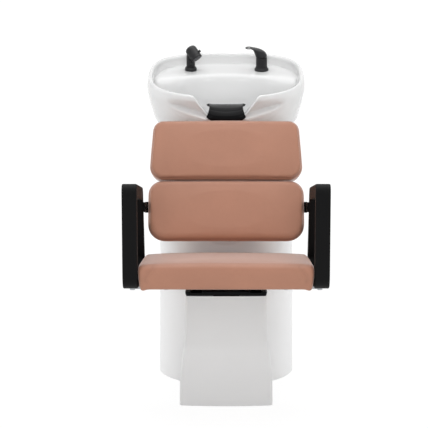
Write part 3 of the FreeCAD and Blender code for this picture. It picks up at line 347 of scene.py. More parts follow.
def black_finish(name, tone, rough, grain, depth, shine, worn=0.0):
    """Black lacquer, coating, powder or gel, told apart by gloss and grain."""
    f = Finish(name)
    cloud = f.noise(14.0, 4.0, 0.6)
    fine = f.noise(grain, 2.0)
    base = f.blend(cloud, shade(tone, 0.8), shade(tone, 1.5))
    scuff = f.ramp(f.noise(70.0, 6.0, 0.75), 0.62, 0.8)
    base = f.blend(scuff * worn, base, (0.1, 0.1, 0.1, 1.0))
    f.set(Base_Color=base, Roughness=rough + 0.12 * cloud + 0.08 * scuff, Specular_IOR_Level=shine)
    f.bump(fine, 0.22, depth)
    return f.material


def metal_finish(name, tone, rough, brushed):
    """Plated or bare metal with fine drawn marks and dulled patches."""
    f = Finish(name)
    marks = f.noise(700.0, 3.0, place=f.stretched(1.0, 0.06, 1.0))
    dull = f.ramp(f.noise(40.0, 5.0, 0.7), 0.4, 0.75)
    base = f.blend(dull * 0.5, tone, shade(tone, 0.78))
    f.set(Base_Color=base, Roughness=rough + brushed * marks + 0.14 * dull, Metallic=1.0)
    f.bump(marks, 0.08, 0.0002)
    return f.material


def plywood_finish():
    """Sealed plywood: long grain, pores and a few darker streaks."""
    f = Finish("plywood")
    along = f.stretched(1.2, 26.0, 26.0)
    streak = f.noise(4.0, 6.0, 0.6, along)
    pore = f.ramp(f.noise(46.0, 2.0, 0.5, along), 0.55, 0.7)
    base = f.blend(streak, (0.30, 0.17, 0.085, 1.0), (0.52, 0.34, 0.19, 1.0))
    f.set(Base_Color=f.blend(pore * 0.5, base, (0.2, 0.11, 0.055, 1.0)), Roughness=0.5 + 0.2 * pore)
    f.bump(streak - pore, 0.25, 0.0004)
    return f.material


def studio_floor_finish():
    """Pale floor that the camera sees as white, with the object's shadow kept near it."""
    f = Finish("studio_floor")
    f.set(Base_Color=tuple(colours().floor), Roughness=0.9)
    f.bump(f.noise(90.0, 3.0), 0.02, 0.001)
    glow = f.add("ShaderNodeEmission", {}, {"Color": WHITE, "Strength": 1.07})
    away = f.add("ShaderNodeVectorMath", {"operation": "LENGTH"}, {0: f.place}, "Value")
    fade = f.add("ShaderNodeMapRange", {"clamp": True}, {"Value": away, 1: 1.2, 2: 3.0, 3: 0.85, 4: 1.0})
    lit = Value(f, f.shader.outputs[0])
    shown = f.add("ShaderNodeMixShader", {}, {0: f.shown_rays() * fade, 1: lit, 2: glow})
    f.feed(f.tree.nodes["Material Output"].inputs["Surface"], shown)
    return f.material


MADE = {}


def once(name, maker):
    """What the maker makes, made the first time only."""
    if name not in MADE:
        MADE[name] = maker()
    return MADE[name]


def finish(name):
    """The finish of that name."""
    c = colours()
    # The pedestal's white is the shell's white darkened to 0.865: painted shade on the pedestal's front.
    whites = {
        "shell_white": (tuple(c.shell), 0.34), "pedestal_white": (shade(tuple(c.shell), 0.865), 0.38),
        "plastic_grey": ((0.2, 0.2, 0.21, 1.0), 0.4)}
    blacks = {
        "arm_black": (tuple(c.arms), 0.5, 1500.0, 0.0001, 0.11, 0.03),
        "tap_black": (tuple(c.taps), 0.24, 2600.0, 0.0001, 0.3, 0.04),
        "gel_black": (tuple(c.gel), 0.07, 240.0, 0.00005, 0.05),
        "steel_black": (tuple(c.steel), 0.42, 1900.0, 0.0003, 0.06, 0.05),
        "rubber_black": ((0.02, 0.02, 0.021, 1.0), 0.6, 900.0, 0.0004, 0.3, 0.05)}
    metals = {
        "steel_zinc": ((0.56, 0.57, 0.59, 1.0), 0.28, 0.2), "chrome": ((0.78, 0.79, 0.8, 1.0), 0.06, 0.06),
        "brass": ((0.6, 0.43, 0.16, 1.0), 0.22, 0.16)}
    single = {
        "leather_tan": leather_finish, "thread": thread_finish, "ceramic": ceramic_finish,
        "plywood": plywood_finish}
    for table, maker in ((whites, shell_finish), (blacks, black_finish), (metals, metal_finish)):
        if name in table:
            return once(name, lambda: maker(name, *table[name]))
    return once(name, single[name])


# Mesh helpers

def paint(piece, slot):
    piece.data.materials.clear()
    piece.data.materials.append(finish(slot))


def dress(piece, slot, body):
    """Gives the piece the finish that the slot names, and its body."""
    paint(piece, slot)
    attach(piece, body)


def new_object(name, points, edges=(), faces=()):
    """An object with a plain mesh in the row frame, metres."""
    mesh = bpy.data.meshes.new(name)
    mesh.from_pydata([tuple(p) for p in points], edges, [tuple(f) for f in faces])
    made = bpy.data.objects.new(name, mesh)
    bpy.context.scene.collection.objects.link(made)
    return made


def new_piece(name, points, faces, slot, body, smooth=True):
    """A closed piece in the row frame, metres, facing outwards, riding on a body."""
    piece = new_object(name, points, faces=faces)
    bm = bmesh.new()
    bm.from_mesh(piece.data)
    bmesh.ops.remove_doubles(bm, verts=bm.verts, dist=2e-6)
    bmesh.ops.recalc_face_normals(bm, faces=bm.faces)
    bm.to_mesh(piece.data)
    bm.free()
    if smooth:
        piece.data.shade_smooth()
    dress(piece, slot, body)
    return piece


def ring_faces(rings, count, capped=True):
    """Faces of rings of count points laid one after another, with end caps or closed into a loop."""
    faces = []
    for r in range(rings - 1 if capped else rings):
        for i in range(count):
            j, q = (i + 1) % count, (r + 1) % rings
            faces.append((r * count + i, r * count + j, q * count + j, q * count + i))
    if capped:
        faces.append(tuple(reversed(range(count))))
        faces.append(tuple(range((rings - 1) * count, rings * count)))
    return faces


def evaluated_mesh(piece):
    """The piece's mesh with its modifiers applied, as a plain mesh."""
    graph = bpy.context.evaluated_depsgraph_get()
    return bpy.data.meshes.new_from_object(piece.evaluated_get(graph))


def set_mesh(piece, mesh):
    old = piece.data
    piece.data = mesh
    piece.modifiers.clear()
    bpy.data.meshes.remove(old)


def regrid(piece, voxel):
    """Remeshes the piece on an even grid."""
    grid = piece.modifiers.new("Grid", "REMESH")
    grid.mode = "VOXEL"
    grid.voxel_size = voxel
    set_mesh(piece, evaluated_mesh(piece))


def relax(piece, rounds):
    """Evens out the grid's steps."""
    even = piece.modifiers.new("Even", "SMOOTH")
    even.iterations = rounds
    even.factor = 0.5
    set_mesh(piece, evaluated_mesh(piece))


def subdivide(piece):
    """One level of subdivision, in the view and the render alike."""
    fine = piece.modifiers.new("Fine", "SUBSURF")
    fine.levels = 1
    fine.render_levels = 1


def vertex_field(mesh, name="co"):
    """The places, or another field, of the mesh's points."""
    out = np.empty(len(mesh.vertices) * 3)
    mesh.vertices.foreach_get(name, out)
    return out.reshape(-1, 3)


def put_points(mesh, points):
    mesh.vertices.foreach_set("co", np.asarray(points, float).ravel())
    mesh.update()


def run_tree(piece, tree, values):
    """Runs a node tree on a piece and keeps the result as its plain mesh."""
    mod = piece.modifiers.new(tree.name, "NODES")
    mod.node_group = tree
    ids = {s.name: s.identifier for s in tree.interface.items_tree if s.in_out == "INPUT"}
    for label, value in values.items():
        mod[ids[label]] = value
    set_mesh(piece, evaluated_mesh(piece))


def smooth_step(x, low, high):
    t = np.clip((np.asarray(x, float) - low) / (high - low), 0.0, 1.0)
    return t * t * (3 - 2 * t)


def bell(x, middle, width):
    """A bell curve, 1 in the middle."""
    return np.exp(-((x - middle) / width) ** 2)


def spline(keys, at):
    """Smooth values through keyed rows (position, values...), read at a position."""
    keys = np.asarray(keys, float)
    pos = keys[:, 0]
    i = np.clip(np.searchsorted(pos, at) - 1, 0, len(pos) - 2)
    h = pos[i + 1] - pos[i]
    t = np.clip((at - pos[i]) / h, 0.0, 1.0)
    t2, t3 = t * t, t * t * t
    out = []
    for val in keys[:, 1:].T:
        slope = np.gradient(val, pos)
        out.append((2 * t3 - 3 * t2 + 1) * val[i] + (t3 - 2 * t2 + t) * h * slope[i]
                   + (3 * t2 - 2 * t3) * val[i + 1] + (t3 - t2) * h * slope[i + 1])
    return out


def circle(count):
    """Angles round a circle."""
    return np.linspace(0.0, 2 * math.pi, count, endpoint=False)


def even_run(path):
    """Distance along a path of points, from its start."""
    return np.concatenate([[0.0], np.cumsum(np.hypot(*np.diff(path, axis=0).T))])


def rounded_outline(half_low, half_top, low, high, r_low, r_top, count):
    """Points round a trapezoid with rounded corners, evenly spaced."""
    path = []
    corners = ((-half_low, low, r_low), (half_low, low, r_low),
               (half_top, high, r_top), (-half_top, high, r_top))
    for (x, y, r), start in zip(corners, (180.0, 270.0, 0.0, 90.0)):
        cx, cy = x - math.copysign(r, x), y + (r if y == low else -r)
        for a in np.radians(start + np.linspace(0.0, 90.0, 13)):
            path.append((cx + r * math.cos(a), cy + r * math.sin(a)))
    path = np.array(path + path[:1])
    run = even_run(path)
    at = np.linspace(0.0, run[-1], count, endpoint=False)
    return np.column_stack([np.interp(at, run, path[:, k]) for k in (0, 1)])


def ringed_piece(name, rings, local, slot, body, smooth=True):
    """A piece skinned over rings of points in a local frame."""
    faces = ring_faces(len(rings), len(rings[0]))
    return new_piece(name, to_row(np.vstack(rings), local), faces, slot, body, smooth)


# Upholstery

CLOTH_FRAMES = 20
CALM_ROUNDS = 180
FOAM_COVER = {
    "quality": 5, "use_pressure": True, "tension_stiffness": 20.0, "compression_stiffness": 20.0,
    "shear_stiffness": 8.0, "bending_stiffness": 0.8, "vertex_group_mass": "held"}
START_IN = 1.5
FACE_SHARES = (0.8, 0.55, 0.3, 0.1)


def swell(piece, held, reach):
    """Presses the cover out with cloth. Held points stay, and no point moves further than the reach."""
    regrid(piece, sizes().voxel)
    start = vertex_field(piece.data)
    group = piece.vertex_groups.new(name="held")
    group.add([int(i) for i in np.flatnonzero(held(start))], 1.0, "REPLACE")
    cloth = piece.modifiers.new("Cover", "CLOTH")
    for key, value in FOAM_COVER.items():
        setattr(cloth.settings, key, value)
    cloth.settings.uniform_pressure_force = sizes().pressure
    cloth.settings.effector_weights.gravity = 0.0
    cloth.collision_settings.use_collision = False
    cloth.point_cache.frame_start = 1
    cloth.point_cache.frame_end = CLOTH_FRAMES
    scene = bpy.context.scene
    for step in range(1, CLOTH_FRAMES + 1):
        scene.frame_set(step)
        bpy.context.view_layer.update()
    settled = evaluated_mesh(piece)
    moved = vertex_field(settled) - start
    scene.frame_set(1)
    piece.vertex_groups.clear()
    set_mesh(piece, settled)
    far = np.linalg.norm(moved, axis=1, keepdims=True)
    moved = evened(piece.data, moved * np.minimum(1.0, reach / np.maximum(far, 1e-9)), CALM_ROUNDS)
    put_points(piece.data, start + moved)


def evened(mesh, field, rounds):
    """A field on the mesh's points, averaged with the neighbours' again and again."""
    ends = np.empty(len(mesh.edges) * 2, np.int32)
    mesh.edges.foreach_get("vertices", ends)
    a, b = ends.reshape(-1, 2).T
    count = len(mesh.vertices)
    near = np.maximum(np.bincount(a, minlength=count) + np.bincount(b, minlength=count), 1)
    for _ in range(rounds):
        total = [np.bincount(a, field[b, k], count) + np.bincount(b, field[a, k], count) for k in range(3)]
        field = 0.4 * field + 0.6 * np.column_stack(total) / near[:, None]
    return field


def distance_to_path(points, path):
    """Distance from points to a closed path of points."""
    best = np.full(len(points), 1e9)
    for a, b in zip(path, np.roll(path, -1, axis=0)):
        ab = b - a
        t = np.clip(((points - a) @ ab) / max(ab @ ab, 1e-12), 0.0, 1.0)
        best = np.minimum(best, np.linalg.norm(points - a - t[:, None] * ab, axis=1))
    return best


def mark_crease_shade(mesh, values):
    """Keeps how deep in a seam groove or pleat each point lies, so the leather's colour can be darkened
    there as painted shade.
    """
    layer = mesh.attributes.new("crease", "FLOAT", "POINT")
    layer.data.foreach_set("value", np.clip(values, 0.0, 1.0).astype(np.float32))


def on_surface(piece, points, towards, lift):
    """Points dropped onto the piece along the way to other points, then lifted off it."""
    tree = BVHTree.FromPolygons([v.co.copy() for v in piece.data.vertices],
                                [tuple(p.vertices) for p in piece.data.polygons])
    out = []
    for p, c in zip(points, towards):
        way = (Vector(c) - Vector(p)).normalized()
        hit, normal, _, _ = tree.ray_cast(Vector(p), way)
        if hit is None:
            hit, normal, _, _ = tree.find_nearest(Vector(p))
        out.append(tuple(hit + normal * lift))
    return np.array(out)


def stitches(name, path, body):
    """A closed row of stitches along a path of points in the row frame."""
    count = len(path)
    piece = new_object(name, path, [(i, (i + 1) % count) for i in range(count)])
    s = sizes()
    run_tree(piece, once("stitch row", stitch_tree), {
        "Pitch": s.stitch_pitch, "Length": s.stitch_length,
        "Thickness": s.stitch_thickness, "Material": finish("thread")})
    piece.data.shade_smooth()
    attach(piece, body)


def pucker(points, scale, seed):
    """Slow uneven waves of a pulled cover, from -1 to 1."""
    return np.array([noise.noise(Vector((p[0] * scale, p[1] * scale, p[2] * scale + seed))) for p in points])


def finish_cover(piece, node):
    """One subdivision, then the piece stands for its solid."""
    subdivide(piece)
    piece.data.shade_smooth()
    dress(piece, "leather_tan", "base")
    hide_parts(node)


def face_rings(edge, along, out, middle, start, crown):
    """Rings that close a crowned face inwards from its edge. Along and out are columns of the points."""
    rings = []
    for share in FACE_SHARES:
        inner = edge.copy()
        inner[:, 0] *= share
        inner[:, along] = middle + (edge[:, along] - middle) * share
        inner[:, out] = start + (inner[:, 0] ** 2 + (inner[:, along] - middle) ** 2) / crown
        rings.append(inner)
    return rings


def rolled(turns, start, deep, insets):
    """Rows of a level and insets round a rolled edge."""
    return [(start + deep * (1 - math.sin(turn)), *(inset * (1 - math.cos(turn)) for inset in insets))
            for turn in np.radians(turns)]


# Back cushions: heights, half widths and corner radii at foot and top, undercut and rounding of the foot

Back = namedtuple("Back", "name low high half_low half_top r_low r_top under foot")
BACKS = (
    Back("lower_back", 9.0, 212.4, 250.0, 250.0, 56.0, 46.0, 25.0, 22.0),
    Back("upper_back", 209.6, 411.5, 246.0, 237.0, 46.0, 34.0, 8.0, 9.0))
BACK_THICK, BACK_CROWN = 88.0, 5200.0
BACK_POINTS = 200
EDGE, EDGE_DEEP = 13.0, 20.0
SEAM_IN, STITCH_IN, SEAM_POINTS = 6.5, 11.5, 260

# Depth, inset at the sides, share of the undercut and inset at the top

BACK_ROWS = (
    (BACK_THICK, 6.0, 1.0, 10.0), (74.0, 3.0, 0.8, 6.0), (60.0, 1.0, 0.6, 2.6), (44.0, 0.0, 0.3, 0.6),
    (32.0, 0.0, 0.1, 0.0))
BACK_TURNS = (0.0, 14.0, 28.0, 42.0, 55.0, 66.0, 76.0, 84.0, 90.0)


def back_outline(b, side, low, top, count):
    """Outline of a back cushion, with insets at its sides, foot and top."""
    return rounded_outline(b.half_low - side, b.half_top - side, b.low + low, b.high - top,
                           max(b.r_low - side * 0.8, 9.0), max(b.r_top - side * 0.8, 9.0), count)


def back_rings(b):
    """Rings of a back cushion from its rear round the edge to the middle of its face."""
    rows = [(n, side, b.under * share, top) for n, side, share, top in BACK_ROWS]
    rows += rolled(BACK_TURNS, 0.0, EDGE_DEEP, (EDGE, b.foot, EDGE))
    middle = (b.low + b.high) / 2
    rings = []
    for n, side, low, top in rows:
        n = n + START_IN * smooth_step(n, 60.0, 20.0)
        ring = back_outline(b, side + START_IN, low + START_IN, top + START_IN, BACK_POINTS)
        back = (ring[:, 0] ** 2 + (ring[:, 1] - middle) ** 2) / BACK_CROWN
        rings.append(np.column_stack([ring[:, 0], n + smooth_step(n, 46.0, 16.0) * back, ring[:, 1]]))
    return rings + face_rings(rings[-1], 2, 1, middle, START_IN, BACK_CROWN)


def traced(piece, b, inset):
    """A path on a back cover, set in from its outline and found from in front."""
    ring = back_outline(b, inset, inset, inset, SEAM_POINTS)
    start = np.column_stack([ring[:, 0], np.full(SEAM_POINTS, -40.0), ring[:, 1]])
    ahead = start + (0.0, 100.0, 0.0)
    return on_surface(piece, to_row(start, BACK_FRAME), to_row(ahead, BACK_FRAME), 0.0001)


def back_cover(b):
    """One back cushion: firm foam, crowned face, a stitched seam between the face panel and the border."""
    name = b.name + "_cover"
    piece = ringed_piece(name, back_rings(b), BACK_FRAME, "leather_tan", "base")
    swell(piece, lambda p: to_local(p, BACK_FRAME)[:, 1] > BACK_THICK - 14.0, sizes().back_swell)
    relax(piece, 2)
    mesh = piece.data
    local = to_local(vertex_field(mesh), BACK_FRAME)
    local[:, 1] = np.clip(local[:, 1], 0.3, BACK_THICK - 0.4)
    put_points(mesh, to_row(local, BACK_FRAME))
    seam, row = traced(piece, b, SEAM_IN), traced(piece, b, STITCH_IN)
    off = distance_to_path(vertex_field(mesh), seam) / MM
    ripple = bell(off, 0.0, 30.0) * pucker(local, 0.03, 3.0)
    push = 0.35 * ripple - bell(off, 0.0, 3.2) * sizes().seam_depth / MM
    put_points(mesh, vertex_field(mesh) + vertex_field(mesh, "normal") * push[:, None] * MM)
    # Painted shade along the seam groove, kept for the leather's colour.
    mark_crease_shade(mesh, bell(off, 0.0, 2.8))
    finish_cover(piece, b.name + "_cushion")
    stitches(name + "_stitches", row, "base")


# Seat cushion: rows of height and insets at the sides, front and rear

SEAT_HALF, SEAT_DEPTH, SEAT_THICK, SEAT_CROWN = 263.0, 472.0, 82.0, 14000.0
SEAT_POINTS = 220
SEAT_ROWS = (
    (0.0, 10.0, 9.0, 8.0), (8.0, 7.5, 6.5, 6.0), (17.0, 5.0, 4.5, 4.0), (34.0, 1.6, 1.5, 1.5),
    (53.0, 0.0, 0.0, 0.0), (64.0, 0.2, 0.6, 0.2))
SEAT_TURNS = (8.0, 20.0, 34.0, 47.0, 59.0, 70.0, 80.0, 90.0)
SEAT_EDGE, SEAT_EDGE_HIGH = (13.0, 26.0, 12.0), 14.0


def seat_rings():
    """Rings of the seat cushion from its underside round the edge to the middle of its top."""
    rows = [*SEAT_ROWS, *rolled(SEAT_TURNS, SEAT_THICK, -SEAT_EDGE_HIGH, SEAT_EDGE)]
    middle = SEAT_DEPTH / 2
    rings = []
    for z, *insets in rows:
        side, front, rear = np.array(insets) + START_IN * smooth_step(z, 4.0, 20.0)
        ring = rounded_outline(SEAT_HALF - side, SEAT_HALF - side, front - 3.0, SEAT_DEPTH - rear,
                               max(22.0 - side * 0.7, 9.0), max(15.0 - side * 0.7, 8.0), SEAT_POINTS)
        down = (ring[:, 0] ** 2 + (ring[:, 1] - middle) ** 2) / SEAT_CROWN
        rings.append(np.column_stack([ring, z - (down + START_IN) * smooth_step(z, 40.0, 70.0)]))
    return rings + face_rings(rings[-1], 1, 2, middle, SEAT_THICK - START_IN, -SEAT_CROWN)


def fold_seat(local):
    """Pinches the front corners, folds a pleat beside each and lets the top wave; gives the pleats."""
    side, out, z = np.sign(local[:, 0]), np.abs(local[:, 0]), local[:, 2].copy()
    pinch = smooth_step(local[:, 1], 60.0, 12.0) * smooth_step(z, 22.0, 2.0) * bell(out, 244.0, 9.0)
    fold_x = 214.0 + 26.0 * smooth_step(z, 74.0, 30.0) - 10.0 * smooth_step(z, 30.0, 4.0)
    reach = smooth_step(local[:, 1], 70.0, 34.0) * smooth_step(z, 80.0, 66.0) * smooth_step(z, 6.0, 24.0)
    fold = bell(out, fold_x, 7.5) * reach
    lip = bell(out, fold_x - 14.0, 9.0) * reach
    local[:, 2] -= 4.0 * pinch
    local[:, 1] += fold * 2.4 - lip * 1.0
    local[:, 0] -= side * fold * 1.2
    local[:, 2] += smooth_step(z, 55.0, 75.0) * 0.7 * pucker(local, 0.011, 9.0)
    return fold


def seat_cover():
    """The seat cushion: waterfall front, rounded corners with a pleat, crowned top."""
    piece = ringed_piece("seat_cushion_cover", seat_rings(), SEAT_FRAME, "leather_tan", "base")
    swell(piece, lambda p: to_local(p, SEAT_FRAME)[:, 2] < 11.0, sizes().seat_swell)
    relax(piece, 2)
    local = to_local(vertex_field(piece.data), SEAT_FRAME)
    local[:, 2] = np.maximum(local[:, 2], 0.4)
    fold = fold_seat(local)
    put_points(piece.data, to_row(local, SEAT_FRAME))
    # Painted shade in the pleat folds, kept for the leather's colour.
    mark_crease_shade(piece.data, fold * 0.22)
    finish_cover(piece, "seat_cushion")


# Tray under the seat: rows of height and inset

TRAY_HALF, TRAY_FRONT, TRAY_REAR, TRAY_LIP = 126.0, 251.2, 466.0, -42.0
TRAY_POINTS = 160
TRAY_ROWS = (
    (-28.0, 1.2), (-29.2, 0.0), (-35.0, 0.8), (-39.0, 2.0), (-41.2, 3.4), (-42.0, 5.0),
    (-41.2, 6.4), (-38.0, 6.2), (-33.0, 5.0), (-32.0, 6.0))


def seat_tray():
    """The pressed tray under the seat: sides drawn in, lip raised in the middle and open at the rear."""
    rings = []
    for z, inset in TRAY_ROWS:
        half = TRAY_HALF - inset
        ring = rounded_outline(half, half, TRAY_FRONT + inset, TRAY_REAR - inset, 10.0, 8.0, TRAY_POINTS)
        bow = 2.8 * (1 - (ring[:, 0] / TRAY_HALF) ** 2) * smooth_step(z, -36.0, -41.0)
        rear = TRAY_LIP + 9.6 * smooth_step(ring[:, 1], TRAY_REAR - 40.0, TRAY_REAR - 14.0)
        rings.append(np.column_stack([ring, np.maximum(z + bow, rear)]))
    piece = ringed_piece("seat_tray_pressed", rings, SEAT_FRAME, "steel_black", "base", False)
    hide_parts("seat_tray")


class BACKWASH_OT_tray(bpy.types.Operator):
    """Makes the tray under the seat."""

    bl_idname = "backwash.tray"
    bl_label = "Seat tray"

    def execute(self, context):
        seat_tray()
        return {"FINISHED"}


class BACKWASH_OT_seat(bpy.types.Operator):
    """Makes the seat cushion's cover."""

    bl_idname = "backwash.seat"
    bl_label = "Seat cushion"

    def execute(self, context):
        seat_cover()
        return {"FINISHED"}


class BACKWASH_OT_backrest(bpy.types.Operator):
    """Makes the two back cushions and their stitching."""

    bl_idname = "backwash.backrest"
    bl_label = "Back cushions"

    def execute(self, context):
        for b in BACKS:
            back_cover(b)
        return {"FINISHED"}


# Basin: rows of height, half width, front and back; rows of height and wall thickness; rows of the rim

BASIN_HALF, BASIN_LONG = 261.0, 500.0
BASIN_POINTS = 336
BASIN_OUT = (
    (-215.0, 130.0, 125.0, 340.0), (-203.0, 158.0, 99.0, 379.0), (-185.0, 185.0, 75.0, 415.0),
    (-156.0, 223.0, 38.0, 456.0), (-135.0, 240.0, 22.0, 474.0), (-103.0, 250.0, 10.0, 488.0),
    (-60.0, 261.0, 1.0, 498.0), (-10.0, 261.0, 0.0, 500.0), (0.0, 256.0, 4.0, 496.0))
BOWL_FLOOR, RIM_END = -198.0, -11.0
BOWL_IN = (
    (BOWL_FLOOR, 70.0, 70.0, 72.0), (-175.0, 37.0, 45.0, 44.0), (-140.0, 20.0, 34.0, 26.0),
    (-90.0, 16.0, 32.0, 19.0), (-60.0, 15.5, 30.0, 17.0), (-32.0, 15.3, 23.0, 16.0),
    (RIM_END, 16.0, 16.0, 16.0))
RIM_DRAWN = 15.0
RIM_ROLL = (
    (-6.0, 0.8), (-2.6, 2.6), (-0.6, 5.2), (0.0, 7.6), (-0.7, 10.4), (-2.9, 13.0), (-6.5, 14.8),
    (RIM_END, 16.0))
DRAIN, DRAIN_R, DRAIN_DEEP = (0.0, 215.0), 27.0, 12.0
DECK_W = -35.0
TAP_X, TAP_V = 122.0, 405.0

# Neck notch: half widths at its top and foot, its depth, and how far below the rim it still shows

NOTCH = (108.0, 62.0, 62.0)
NOTCH_FADE = 130.0
FRONT_WALL = 130.0
SHOULDER_ROOF = -17.0
SHOULDER_FOOT = ((60.0, 80.0, 110.0, 150.0, 190.0), (-70.0, -66.0, -59.0, -50.0, -37.0))


def egg(half, front, back, angles):
    """Plan outline of the basin: rounder at the front, squarer at the back."""
    c, s = np.cos(angles), np.sin(angles)
    power = np.where(s < 0, 2.5, 3.0)
    mid = (front + back) / 2
    x = half * np.sign(c) * np.abs(c) ** (2 / power)
    reach = np.where(s < 0, mid - front, back - mid)
    return x, mid + reach * np.sign(s) * np.abs(s) ** (2 / power)


def even_angles(count):
    """Angles that space the outline's points evenly."""
    fine = np.linspace(-math.pi / 2, 1.5 * math.pi, 6001)
    run = even_run(np.column_stack(egg(BASIN_HALF, 0.0, BASIN_LONG, fine)))
    return np.interp(np.linspace(0.0, run[-1], count, endpoint=False), run, fine)


def notch_drop(x):
    """How far the rim drops for the neck, with eased corners."""
    top, low, deep = NOTCH
    shares = [np.clip((top - np.abs(np.abs(x) + shift)) / (top - low), 0.0, 1.0)
              for shift in np.linspace(-7.0, 7.0, 9)]
    return deep * np.mean(shares, axis=0)


def lowered(w, drop):
    """Height of a wall under the notch: all of the drop at the rim, none of it far below."""
    return w - drop * np.clip((w + NOTCH_FADE) / NOTCH_FADE, 0.0, 1.0)


def deck_height(x, v):
    """Tap deck: a level shelf at the back, with a bowed front edge that falls away into the bowl."""
    edge = 345.0 - 26.0 * (np.abs(x) / 150.0) ** 2
    fall = np.clip((edge + 9.0 - v) / 48.0, 0.0, None) ** 1.4
    return DECK_W - 165.0 * fall


def bowl_reach(angles, rim):
    """How far the bowl reaches from the drain in each direction, from the bottom up to the rim."""
    fine = np.linspace(0.0, 2 * math.pi, 1441)
    heights = np.concatenate([np.linspace(BOWL_FLOOR, -170.0, 10), np.linspace(-165.0, RIM_END, 24)])
    reach = []
    for w in heights:
        half, front, back = spline(BASIN_OUT, w)
        side, ahead, behind = [k * rim / RIM_DRAWN for k in spline(BOWL_IN, w)]
        x, v = egg(half - side, front + ahead, back - behind, fine)
        turn = np.unwrap(np.arctan2(v - DRAIN[1], x - DRAIN[0]))
        reach.append(np.interp(angles, turn, np.hypot(x - DRAIN[0], v - DRAIN[1]), period=2 * math.pi))
    return heights, np.array(reach)


def calmed(grid, weight, rounds):
    """Evens out heights on a ring grid, where the weight allows."""
    for _ in range(rounds):
        near = np.roll(grid, 1, 1) + np.roll(grid, -1, 1)
        near[1:-1] += grid[2:] + grid[:-2]
        grid[1:-1] += weight[1:-1] * (near[1:-1] / 4 - grid[1:-1])
    return grid


def soft_max(a, b, width):
    """The larger of two heights, with a soft bend where they meet."""
    gap = a - b
    return 0.5 * (a + b + np.sqrt(gap ** 2 + width * width)) - 0.25 * width * bell(gap, 0.0, width)


def outside_rings(angles, drop):
    """Rings up the outside, from the middle of the foot to just under the rim."""
    foot, half, front, back = BASIN_OUT[0]
    x, v = egg(half, front, back, angles)
    mid = (front + back) / 2
    rings = [np.column_stack([x * k, mid + (v - mid) * k, np.full(len(x), foot)]) for k in (0.25, 0.6, 0.85)]
    for w in np.concatenate([np.linspace(foot, -150.0, 12), np.linspace(-145.0, -12.0, 30)]):
        x, v = egg(*spline(BASIN_OUT, w), angles)
        rings.append(np.column_stack([x, v, lowered(w, drop)]))
    return rings


def rim_rings(angles, drop, rim):
    """Rings over the rolled rim."""
    rings = []
    for w, drawn in RIM_ROLL:
        inset = drawn * rim / RIM_DRAWN
        x, v = egg(BASIN_HALF - inset, inset, BASIN_LONG - inset, angles)
        rings.append(np.column_stack([x, v, lowered(w, drop)]))
    return rings


def inside_rings(rim_end, rim):
    """Rings of the tap deck and the bowl, from the rim's last ring down to the drain."""
    in_x, in_v, start_w = rim_end.T
    span = np.hypot(in_x - DRAIN[0], in_v - DRAIN[1])
    heights, reach = bowl_reach(np.arctan2(in_v - DRAIN[1], in_x - DRAIN[0]), rim)
    inside, weight = [], []
    for t in np.linspace(0.0, 1.0, 96)[1:]:
        rho = 1.0 - (1.0 - DRAIN_R / span) * (0.3 * t + 0.7 * t * t)
        x = DRAIN[0] + (in_x - DRAIN[0]) * rho
        v = DRAIN[1] + (in_v - DRAIN[1]) * rho
        bowl = np.array([np.interp(far, column, heights, left=BOWL_FLOOR)
                         for far, column in zip(span * rho, reach.T)])
        bowl = np.minimum(bowl, start_w - 40.0 * (1.0 - rho))
        shelf = np.minimum(deck_height(x, v), start_w)
        bend = 0.5 + 12.0 * smooth_step(t, 0.0, 0.2)
        inside.append(np.column_stack([x, v, soft_max(bowl, shelf, bend)]))
        sides = 0.25 + 0.65 * smooth_step(np.abs(x), 130.0, 185.0)
        off_drain = smooth_step(np.hypot(x - DRAIN[0], v - DRAIN[1]), 60.0, 110.0)
        weight.append(sides * smooth_step(v, 150.0, 260.0) * smooth_step(t, 0.0, 0.12) * off_drain)
    inside, weight = np.array(inside), np.array(weight)
    by_tap = np.abs(np.abs(inside[:, :, 0]) - TAP_X) < 26.0
    weight[by_tap & (inside[:, :, 1] > 352.0)] = 0.0
    inside[:, :, 2] = calmed(inside[:, :, 2], weight, 60)
    return list(inside)


def shoulder_push(points):
    """How far the hollows in the shoulders, and the ridge under them, move the front wall."""
    side = np.abs(points[:, 0])
    q = (SHOULDER_ROOF - points[:, 2]) / (SHOULDER_ROOF - np.interp(side, *SHOULDER_FOOT))
    reach = smooth_step(side, 196.0, 150.0) * smooth_step(side, 52.0, 72.0)
    hollow = np.clip(q / 0.9, 0.0, 1.0) * smooth_step(q, 1.14, 0.84)
    return reach * (24.0 * hollow - 2.5 * bell(q, 1.28, 0.2) + 2.4 * bell(q, 1.75, 0.18))


def basin_shell():
    """The glazed basin: outside wall, rolled rim with the neck notch, bowl and tap deck."""
    angles = even_angles(BASIN_POINTS)
    rim = sizes().rim / MM
    rim_x, rim_v = egg(*BASIN_OUT[-1][1:], angles)
    drop = notch_drop(rim_x) * smooth_step(rim_v, 150.0, 90.0)
    wall = outside_rings(angles, drop)
    for ring in wall:
        ring[:, 1] += np.where(ring[:, 1] < FRONT_WALL, shoulder_push(ring), 0.0)
    roll = rim_rings(angles, drop, rim)
    inside = inside_rings(roll[-1], rim)
    well = inside[-1] - (0.0, 0.0, DRAIN_DEEP)
    piece = ringed_piece("basin_glazed", [*wall, *roll, *inside, well], BASIN_FRAME, "ceramic", "basin")
    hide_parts("basin")


class BACKWASH_OT_basin(bpy.types.Operator):
    """Makes the glazed basin."""

    bl_idname = "backwash.basin"
    bl_label = "Basin"

    def execute(self, context):
        basin_shell()
        return {"FINISHED"}


# Neck rest: rows of share of the way, depth, height, half width and rise of the sides

